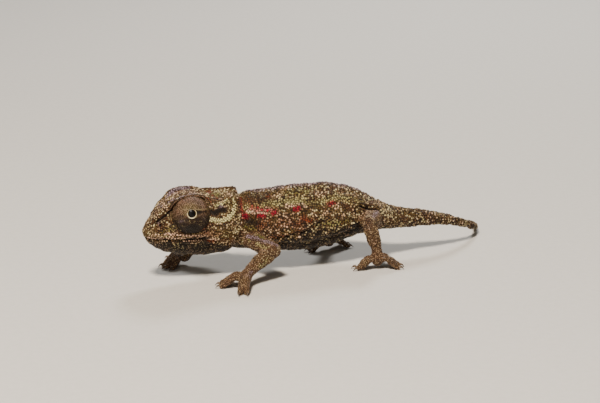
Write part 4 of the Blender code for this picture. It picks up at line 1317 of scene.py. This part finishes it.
def orbit_ring():
    """Beads round the rim of each socket."""
    place, facing = np.array(EYE_PLACE), Vector(ORBIT_FACING)
    across = facing.cross(Vector((0, 0, 1))).normalized()
    lift = across.cross(facing)
    angle = np.linspace(-1.5, 2 * math.pi - 1.5, 60)
    ring = [place + 3.12 * (math.cos(a) * np.array(across) + math.sin(a) * np.array(lift)) for a in angle]
    return [spot for spot in ring if spot[2] > EYE_PLACE.z - 0.8]


class Hide:
    """The finished hide, to look up places, normals and its unwrap."""

    def __init__(self, obj):
        mesh = obj.data
        self.points, self.normals = points_of(mesh), normals_of(mesh)
        self.corners = triangles_of(mesh)
        self.tree = BVHTree.FromPolygons(self.points.tolist(), self.corners.tolist())

    def nearest(self, places):
        """The nearest spots of the hide, with their smooth normals."""
        spots, facing = [], []
        for place in places:
            spot, _, index, _ = self.tree.find_nearest(Vector(place))
            a, b, c = self.corners[index]
            near = [a, b, c][int(np.argmin([np.linalg.norm(self.points[i] - spot) for i in (a, b, c)]))]
            spots.append(spot)
            facing.append(self.normals[near])
        return np.array(spots), np.array(facing)

    def scattered(self, rng):
        """Candidate roots all over the hide with their radii, denser where the beads are smaller."""
        size = bead_radius(self.points)
        a, b, c = (self.points[self.corners[:, i]] for i in range(3))
        area = np.linalg.norm(np.cross(b - a, c - a), axis=1) / 2
        mean = size[self.corners].mean(axis=1)
        wanted = area / (2 * math.sqrt(3) * mean**2)
        count = int(wanted.sum() * CANDIDATES_PER_BEAD)
        chosen = rng.choice(len(wanted), count, p=wanted / wanted.sum())
        u, v = rng.random(count), rng.random(count)
        fold = u + v > 1
        u[fold], v[fold] = 1 - u[fold], 1 - v[fold]
        share = np.column_stack([1 - u - v, u, v])[:, :, None]
        corners = self.corners[chosen]
        place = (self.points[corners] * share).sum(axis=1)
        return place, (size[corners] * share[:, :, 0]).sum(axis=1)


def bare(points, slits):
    """Where no bead grows: under the lids, in the mouth, nostrils and slits, and on the soles."""
    half = one_side(points)
    distance, axial, height = from_gaze(points * (1, 0, 1) - half * (0, 1, 0), "left")
    hidden = (axial < 2.74) & (height > -1.2) & (distance < 2.76)
    slit = (points[:, 0] < 9.8) & (np.abs(over_mouth(points)) < 0.035)
    for line in slits:
        slit |= distance_to_line(half, line) < 0.11
    return hidden | slit | (distance_to_line(half, NOSTRIL) < 0.29) | (points[:, 2] < 0.12)


def unwrap_lookup(hide):
    """A function from places to their spots on an unwrap of the hide's own shape."""
    coarse = linked("coarse", hide.data.copy())
    thin = coarse.modifiers.new("thin", "DECIMATE")
    thin.ratio = UNWRAP_FACES
    thin.use_collapse_triangulate = True
    applied(coarse)
    bpy.context.view_layer.objects.active = coarse
    coarse.select_set(True)
    bpy.ops.object.mode_set(mode="EDIT")
    bpy.ops.mesh.select_all(action="SELECT")
    bpy.ops.uv.smart_project(angle_limit=math.radians(72), island_margin=0.004)
    bpy.ops.object.mode_set(mode="OBJECT")
    mesh = coarse.data
    points, corners = points_of(mesh), triangles_of(mesh)
    loops = rows_of(mesh.loop_triangles, "loops", kind=np.int32)
    flat = rows_of(mesh.uv_layers.active.data, "uv", 2)[loops]
    tree = BVHTree.FromPolygons(points.tolist(), corners.tolist())
    discard(coarse)

    def look_up(places):
        spots = []
        for place in places:
            spot, _, index, _ = tree.find_nearest(Vector(place))
            a, b, c = points[corners[index]]
            whole = np.linalg.norm(np.cross(b - a, c - a)) + 1e-12
            spot = np.array(spot)
            opposite = [np.cross(b - spot, c - spot), np.cross(c - spot, a - spot), np.zeros(3)]
            share = np.linalg.norm(opposite, axis=1) / whole
            share[2] = max(0.0, 1 - share[0] - share[1])
            spots.append(share @ flat[index])
        return np.array(spots)

    return look_up


def tree_of(places):
    """Places in a tree that finds the nearest."""
    tree = KDTree(len(places))
    for i, spot in enumerate(places):
        tree.insert(spot, i)
    tree.balance()
    return tree


def middles(places, roots, radius, loose):
    """The middle of the ground that each loose root holds, among evenly strewn places."""
    tree = tree_of(roots)
    owner = np.zeros(len(places), int)
    for i, spot in enumerate(places):
        owner[i] = min((gap - radius[j], j) for _, j, gap in tree.find_n(spot, 4))[1]
    count = np.maximum(np.bincount(owner, minlength=len(roots)), 1)
    sums = [np.bincount(owner, places[:, i], len(roots)) for i in range(3)]
    return np.where(loose[:, None], np.column_stack(sums) / count[:, None], roots)


def fitted(beads):
    """Adds how far each bead reaches along and across, so that it fills its room."""
    place, facing, radius = beads["place"], beads["facing"], beads["radius"]
    tree = tree_of(place)
    near = np.array([[j for _, j, _ in tree.find_n(spot, 7)[1:]] for spot in place])
    share = 2 * radius[:, None] / (radius[:, None] + radius[near])
    gaps = (place[near] - place[:, None]) * share[:, :, None]
    gaps -= np.einsum("nki,ni->nk", gaps, facing)[:, :, None] * facing[:, None]
    values, vectors = np.linalg.eigh(np.einsum("nki,nkj->nij", gaps, gaps) / 3)
    long, short = (0.5 * np.sqrt(np.maximum(values[:, k], 1e-9)) for k in (2, 1))
    mean = np.sqrt(long * short)
    limited = BEAD_SWELL * np.clip(mean, 0.8 * radius, 1.2 * radius)
    stretch = np.clip(np.sqrt(long / short), 1.0, 1.16)
    beads["along"] = vectors[:, :, 2]
    tall = limited * beads.pop("tallness")
    beads["reach"] = np.column_stack([limited * stretch, limited / stretch, tall])
    return beads


def settled(place, radius, order):
    """Which roots stay when each keeps its neighbours at arm's length, taken in order."""
    tree = tree_of(place)
    taken = np.zeros(len(place), bool)
    gone = np.zeros(len(place), bool)
    for i in order:
        if gone[i]:
            continue
        taken[i] = True
        own = radius[i]
        for _, j, gap in tree.find_range(place[i], BEAD_PACKING * own * (1 + WIDEST_NEIGHBOUR)):
            if gap < BEAD_PACKING * (own + radius[j]):
                gone[j] = True
    return taken


def all_beads(hide_obj, slits):
    """Every bead on the hide: rows first, then scattered larger ones, then the rest between."""
    rng = np.random.default_rng(SEED)
    hide = Hide(hide_obj)
    rows = bead_rows()
    row_place, row_radius = [], []
    for line, pitch, radius in rows:
        spots = smooth_line(line, pitch)
        for side in (-1, 1):
            row = [s * (1, side, 1) for s in spots if side == 1 or abs(s[1]) > 0.05]
            row_place += row
            row_radius += [radius] * len(row)
    ring = smooth_line(orbit_ring(), RIM_PITCH)
    for side in (1, -1):
        row_place += [s * (1, side, 1) for s in ring]
        row_radius += [RIM_BEAD] * len(ring)
    row_spot, _ = hide.nearest(row_place)
    row_radius = np.array(row_radius) * (0.88 + 0.24 * rng.random(len(row_radius)))
    place, radius = hide.scattered(rng)
    grown = rng.random(len(place))
    leg, _ = leg_share(place)
    large = (grown > LARGE_BEADS_FROM) & (leg < 0.5) & (place[:, 2] > 5.5)
    large &= (place[:, 0] > 9) & (place[:, 0] < 50)
    share = rng.random(len(place))
    usual, bigger = SMALLEST_BEAD + BEAD_SPREAD * share, LARGE_BEAD + LARGE_BEAD_SPREAD * share
    radius = radius * np.where(large, bigger, usual)
    place = np.concatenate([row_spot, place])
    radius = np.concatenate([row_radius, radius])
    # Rows settle first, then the large ones, then the rest from big to small, which fill the gaps
    rank = np.concatenate([np.full(len(row_spot), 3.0), share + large])
    open_ground = ~bare(place, slits)
    place, radius, rank = place[open_ground], radius[open_ground], rank[open_ground]
    kept = settled(place, radius, np.argsort(-rank, kind="stable"))
    roots, radius, rank = place[kept], radius[kept], rank[kept]
    fixed = rank > 1
    for _ in range(2):
        roots, facing = hide.nearest(middles(place, roots, radius, ~fixed))
    # The bigger a bead is, the paler it tends to be
    mixed = 0.5 * np.minimum(rank, 1) + 0.5 * rng.random(len(roots))
    chance = np.argsort(np.argsort(mixed)) / len(roots)
    calm = 0.1 * step_up(38.0, 44.0, roots[:, 0])
    chance = np.where(fixed, 0.38 + 0.62 * rng.random(len(roots)), np.maximum(chance - calm, 0))
    tallness = 0.64 + 0.14 * np.minimum(rank, 1) + 0.14 * rng.random(len(roots))
    beads = {"place": roots, "facing": facing, "radius": radius, "chance": chance}
    beads["tallness"] = np.where(fixed, 0.92, tallness)
    return fitted(beads)


# Lids, eyes and claws

LID_RADIUS = 2.71
NOSE_RADIUS = 0.95
NOSE_FORWARD = 2.05
LID_REACH = math.radians(112)
LID_CANDIDATES = 24000
# The bare edge of the lids, as (radius, forward, thickness)
MARGIN_RING = (0.69, 2.73, 0.056)
MARGIN_SIDES = 14
EYEBALL_RADIUS = 1.5
EYEBALL_FORWARD = 1.25
CLAW_START = 0.12
CLAW_LENGTH = 0.84
CLAW_RADIUS = 0.22
CLAW_POINT = 0.018


def gaze_frame(side):
    """Place, gaze, forwards-pointing and upwards-pointing directions of an eye."""
    gaze = mirrored(EYE_GAZE, side)
    ahead = (Vector((-1, 0, 0)) - gaze * gaze.dot(Vector((-1, 0, 0)))).normalized()
    lift = gaze.cross(ahead) if side == "left" else ahead.cross(gaze)
    lift *= 1 if lift.z > 0 else -1
    return tuple(np.array(way) for way in (mirrored(EYE_PLACE, side), gaze, ahead, lift))


def lid_reach(angle, turn):
    """Distance from the eye's middle to the lids' surface, at an angle off the gaze and a turn."""
    skirt = 0.08 + 0.34 * step_up(-0.35, 0.6, -np.sin(turn)) + 0.12 * np.cos(turn) ** 2
    dome = LID_RADIUS - 0.05 * bell(angle - 1.15, 0.4) + skirt * step_up(1.15, 1.95, angle)
    inside = NOSE_RADIUS**2 - (NOSE_FORWARD * np.sin(angle)) ** 2
    nose = NOSE_FORWARD * np.cos(angle) + np.sqrt(np.maximum(inside, 0.0))
    nose = np.where(inside > 0, nose, 0.0)
    blend = 0.1
    return blend * np.log(np.exp(dome / blend) + np.exp(nose / blend)) - blend * 0.2


def lid_point(side, angle, turn):
    """A point on the lids, from its angle off the gaze and its turn round it."""
    place, gaze, ahead, lift = gaze_frame(side)
    out = np.cos(turn)[:, None] * ahead + np.sin(turn)[:, None] * lift
    way = np.cos(angle)[:, None] * gaze + np.sin(angle)[:, None] * out
    creases = 0.014 * np.sin(angle * 34 + 0.6 * np.sin(turn * 3)) * step_up(0.4, 0.7, angle)
    return place + way * (lid_reach(angle, turn) + creases)[:, None], way


def lid_tint(angle, turn, chance):
    """Colours of the lids: sandy above, smoky below and darkened to near black by painted shade, with dark
    streaks from the pupil.
    """
    up = np.sin(turn) * np.sin(angle)
    ahead = np.cos(turn) * np.sin(angle)

    def patch(at, height, wide, tall):
        return np.exp(-(((ahead - at) / wide) ** 2) - ((up - height) / tall) ** 2)

    tint = dict.fromkeys(COLOUR_NAMES, np.zeros(len(angle)))
    # Painted shade: the lower half of the dome darkens, as if lit from above
    low = step_up(0.02, 0.32, -up)
    behind = step_up(0.16, 0.22, -ahead)
    thick = 0.13 - 0.085 * step_up(0.25, 0.75, -ahead)
    streak = np.exp(-(((up - 0.04) / thick) ** 4)) * behind * (1 - step_up(0.78, 0.98, -ahead))
    front = patch(0.66, -0.1, 0.24, 0.07)
    # Painted shade gathered at the bottom of the dome, near black
    bottom_shade = patch(0.03, -0.82, 0.52, 0.3)
    over_streak = bell(up - 0.18, 0.04) * behind
    wedge = patch(0.33, 0.0, 0.12, 0.045)
    light = patch(0.1, 0.35, 0.5, 0.22)
    rays = 0.5 + 0.5 * np.sin(turn * 22 + 1.5 * np.sin(turn * 5))
    sparkle = low * (chance > 0.93)
    tint["tan"] = 0.45 + 0.3 * (chance > 0.45) * (1 - low)
    tint["olive"] = 0.35 * light * (chance < 0.6)
    pale = 0.55 * light * (chance > 0.5) + 0.6 * over_streak + 0.75 * wedge + 0.5 * sparkle
    tint["band"] = np.clip(pale, 0, 0.9)
    tint["rust"] = 0.4 * bell(angle - 1.0, 0.3) * (up > 0.1) * (chance > 0.5)
    smoky = 0.9 * patch(0.62, -0.36, 0.17, 0.09) + 0.45 * patch(-0.7, -0.38, 0.14, 0.18)
    tint["lilac"] = np.clip(smoky, 0, 0.9)
    dark = 0.08 + 0.16 * rays * step_up(0.5, 0.8, angle)
    dark += low * (0.42 + 0.24 * (chance < 0.6)) * (1 - 0.6 * sparkle)
    dark = np.max([dark, 1.6 * streak, 0.8 * front, 1.5 * bottom_shade], axis=0)
    tint["lip"] = 0.2 * (1 - low) * (chance > 0.3)
    tint["dark_and_shade"] = np.clip(dark - 0.6 * tint["lilac"], 0, 0.98)
    return np.column_stack([tint[name] for name in COLOUR_NAMES])


def make_lids(side, hide, edge):
    """The cone of fused lids: a creased dome that tucks into its socket, with a bare rolled edge."""
    around, rows = 96, 44
    start = math.atan2(MARGIN_RING[0], MARGIN_RING[1])
    angles = np.linspace(start, LID_REACH, rows)
    turns = full_turn(around)
    rings = [lid_point(side, np.full(around, a), turns)[0] for a in angles]
    verts = np.concatenate(rings)
    obj = new_object("lids_" + side + "_skin", verts, grid_faces(rows, around))
    angle, turn = np.repeat(angles, around), np.tile(turns, rows)
    chance = np.full(len(verts), 0.25)
    give_marks(obj.data, verts, chance, lid_tint(angle, turn, chance))
    obj.data.materials.append(hide)
    place, gaze, ahead, lift = gaze_frame(side)
    ring_radius, forward, thick = MARGIN_RING
    rolls = full_turn(MARGIN_SIDES)
    margin = []
    for turn in turns:
        out = math.cos(turn) * ahead + math.sin(turn) * lift
        uneven = 0.08 * math.sin(turn * 17) + 0.1 * math.sin(turn * 3 + 1)
        fat = thick * (0.82 - 0.26 * math.sin(turn) + uneven)
        centre = place + gaze * forward + out * ring_radius
        margin.append([centre + fat * (math.cos(r) * out * 1.1 + math.sin(r) * gaze) for r in rolls])
    verts = np.concatenate(margin)
    faces = [tuple(i % len(verts) for i in face) for face in grid_faces(around + 1, MARGIN_SIDES)]
    rolled = outward(new_object("lids_" + side + "_edge", verts, faces))
    store(rolled.data, "upper", np.repeat(np.sin(turns), MARGIN_SIDES))
    rolled.data.materials.append(edge)
    return obj, rolled


def lid_beads(side, rng):
    """Tiny beads all over the lids, larger towards the socket."""
    place, gaze, ahead, lift = gaze_frame(side)
    start = math.atan2(MARGIN_RING[0] + 0.17, MARGIN_RING[1])
    end = math.radians(100)
    angle = np.arccos(rng.uniform(math.cos(end), math.cos(start), LID_CANDIDATES))
    turn = rng.uniform(-math.pi, math.pi, LID_CANDIDATES)
    strewn, _ = lid_point(side, angle, turn)
    radius = 0.07 + 0.03 * step_up(0.3, 1.1, angle) + 0.03 * step_up(1.1, 1.6, angle)
    radius = radius * (0.85 + 0.3 * rng.random(LID_CANDIDATES))
    kept = settled(strewn, radius, np.arange(LID_CANDIDATES))
    roots, radius = strewn[kept], radius[kept]
    for _ in range(2):
        way = middles(strewn, roots, radius, np.ones(len(roots), bool)) - place
        angle = np.arccos((way @ gaze) / np.linalg.norm(way, axis=1))
        turn = np.arctan2(way @ lift, way @ ahead)
        roots, way = lid_point(side, angle, turn)
    chance = rng.random(len(roots))
    beads = {
        "place": roots,
        "facing": way,
        "radius": radius,
        "chance": 0.15 + 0.5 * chance,
        "tallness": 0.6 + 0.25 * rng.random(len(roots)),
        "tint": lid_tint(angle, turn, chance),
        "uv": 0.5 + (angle / LID_REACH * 0.46)[:, None] * np.column_stack([np.cos(turn), np.sin(turn)]),
    }
    return fitted(beads)


def make_eye(side, wet):
    """The eyeball behind the lids' opening."""
    place, gaze, ahead, lift = gaze_frame(side)
    rows, around = 40, 64
    angles = np.linspace(0.02, math.pi - 0.02, rows)
    turns = full_turn(around)
    rings = []
    for a in angles:
        bulge = 0.03 * math.exp(-((a / 0.35) ** 2))
        out = math.sin(a) * (np.outer(np.cos(turns), ahead) + np.outer(np.sin(turns), lift))
        reach = EYEBALL_RADIUS + bulge
        rings.append(place + gaze * EYEBALL_FORWARD + reach * (math.cos(a) * gaze + out))
    obj = skinned("eyeball_" + side, rings)
    offset = points_of(obj.data) - place
    axial = np.linalg.norm(offset - (offset @ gaze)[:, None] * gaze, axis=1)
    store(obj.data, "off_axis", axial)
    obj.data.materials.append(wet)
    return obj


def make_claws(name, paths, horn):
    """Curved claws, one at each toe's tip, flattened from side to side."""
    verts, faces, shares = [], [], []
    around, rows = 12, 10
    for knots in paths:
        before, tip = Vector(knots[-2][:3]), Vector(knots[-1][:3])
        ahead = Vector((tip.x - before.x, tip.y - before.y, 0)).normalized()
        beside = Vector((-ahead.y, ahead.x, 0))
        base = len(verts)
        for k in range(rows):
            t = k / (rows - 1)
            middle = tip + ahead * (CLAW_START + CLAW_LENGTH * t)
            middle.z = 0.4 + 0.16 * math.sin(math.pi * min(t * 1.1, 1.0)) - 0.3 * t**1.6
            size = CLAW_RADIUS * (1 - t) ** 0.75 + CLAW_POINT
            for i in range(around):
                a = 2 * math.pi * i / around
                spot = middle + beside * math.cos(a) * size * 0.8 + Vector((0, 0, 1)) * math.sin(a) * size
                verts.append(tuple(spot))
                shares.append(t)
        faces += [tuple(base + i for i in face) for face in grid_faces(rows, around)]
        for ring in (base, base + (rows - 1) * around):
            faces.append(tuple(range(ring, ring + around)))
    obj = outward(new_object(name, verts, faces))
    store(obj.data, "length_share", shares)
    obj.data.materials.append(horn)
    return obj


# Putting it together


def finished(obj, *nodes):
    """Sets a piece made in millimetres into the frame, and hides the solids it replaces."""
    set_points(obj.data, in_frame(points_of(obj.data)))
    return handed_over(obj, *nodes)


def handed_over(obj, *nodes):
    """Smooth shading, the body it rides on and the solids it replaces."""
    obj.data.shade_smooth()
    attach(obj, "root")
    if nodes:
        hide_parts(*nodes)
    return obj


hide_paint, bead_paint = hide_material(), bead_material()
edge_paint, wet_paint, horn_paint = margin_material(), eye_material(), claw_material()

skin = make_hide()
laid_marks = marks_on(skin)
hide_surface = surface_of(skin.data)
slits = [laid_on(hide_surface, line) for line in (HIP_CREASE, CANTHUS_GROOVE, FLANK_FOLD[1:])]
beads = all_beads(skin, slits)
unwrapped = unwrap_lookup(skin)
beads["uv"] = unwrapped(beads["place"])

mesh = skin.data
give_marks(mesh, points_of(mesh), np.full(len(mesh.vertices), 0.3))
mesh.materials.clear()
mesh.materials.append(hide_paint)
flesh_nodes = [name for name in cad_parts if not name.startswith(("eye_", "lids_"))]
finished(skin, *flesh_nodes)

tree, tree_inputs = bead_tree(bead_paint)
leg_part, _ = leg_share(beads["place"], 0.45)
x, y, z = beads["place"].T
on_leg = leg_part > 0.5
regions = {
    "scales_arms": on_leg & (x < 26),
    "scales_legs": on_leg & (x >= 26),
    "scales_head_left": ~on_leg & (x < 15) & (y < 0),
    "scales_head_right": ~on_leg & (x < 15) & (y >= 0),
    "scales_flank_left": ~on_leg & (x >= 15) & (x < 42) & (y < 0),
    "scales_flank_right": ~on_leg & (x >= 15) & (x < 42) & (y >= 0),
    "scales_tail": ~on_leg & (x >= 42),
}
for name, chosen in regions.items():
    share = {key: rows[chosen] for key, rows in beads.items()}
    handed_over(bead_piece(name, tree, tree_inputs, share))

lid_rng = np.random.default_rng(SEED + 1)
for side in ("left", "right"):
    lids, rolled = make_lids(side, hide_paint, edge_paint)
    finished(lids, "lids_" + side)
    finished(rolled, "lids_" + side)
    coat = bead_piece("scales_lids_" + side, tree, tree_inputs, lid_beads(side, lid_rng))
    handed_over(coat, "lids_" + side)
    finished(make_eye(side, wet_paint), "eye_" + side)
for name, (joints, palm, bundles) in FEET.items():
    finished(make_claws("claws_" + name, toe_paths(palm, bundles), horn_paint))

# Floor, light and camera

CAMERA_TURN = math.radians(-20)
CAMERA_HEIGHT = math.radians(16)
CAMERA_DISTANCE = 330.0
PIXELS_PER_MM = 6.5
SNOUT = Vector((0.0, 0.0, 8.1))
SNOUT_PIXEL = (142.0, 232.0)
FRAME_PIXELS = (600.0, 403.0)
FLOOR_REACH = 2

back = Vector(
    (
        math.sin(CAMERA_TURN) * math.cos(CAMERA_HEIGHT),
        -math.cos(CAMERA_TURN) * math.cos(CAMERA_HEIGHT),
        math.sin(CAMERA_HEIGHT),
    )
)
right = Vector((math.cos(CAMERA_TURN), math.sin(CAMERA_TURN), 0.0))
up = back.cross(right)
across = (SNOUT_PIXEL[0] - FRAME_PIXELS[0] / 2) / PIXELS_PER_MM
above = (FRAME_PIXELS[1] / 2 - SNOUT_PIXEL[1]) / PIXELS_PER_MM
eye_point = SNOUT - right * across - up * above + back * CAMERA_DISTANCE

lens = bpy.data.cameras.new("camera")
lens.sensor_width = 36.0
lens.lens = PIXELS_PER_MM * CAMERA_DISTANCE * lens.sensor_width / FRAME_PIXELS[0]
lens.clip_start = 0.01
lens.clip_end = 10.0
camera = linked("camera", lens)
camera.location = in_frame(eye_point)
camera.rotation_euler = back.to_track_quat("Z", "Y").to_euler()
bpy.context.scene.camera = camera

corners = [(x * FLOOR_REACH, y * FLOOR_REACH, 0) for x, y in ((-1, -1), (1, -1), (1, 1), (-1, 1))]
floor = new_object("floor", corners, [(0, 1, 2, 3)])
floor.data.materials.append(floor_material())


def soft_light(name, place, size, power, colour):
    """A soft box that faces the animal."""
    lamp = bpy.data.lights.new(name, "AREA")
    lamp.shape = "DISK"
    lamp.size = size
    lamp.energy = power
    lamp.color = linear(colour)[:3]
    obj = linked(name, lamp)
    obj.location = place
    obj.rotation_euler = Vector(place).to_track_quat("Z", "Y").to_euler()


soft_light("key", (-0.13, -0.17, 0.33), 0.07, 2.5, "#fff3e4")
soft_light("fill", (-0.25, -0.35, 0.12), 0.3, 0.22, "#fff6ec")
soft_light("rim", (0.16, 0.25, 0.25), 0.1, 0.9, "#ffffff")

world = bpy.data.worlds.new("studio")
world.use_nodes = True
world.node_tree.nodes["Background"].inputs["Color"].default_value = linear("#efeae2")
world.node_tree.nodes["Background"].inputs["Strength"].default_value = 0.12
bpy.context.scene.world = world
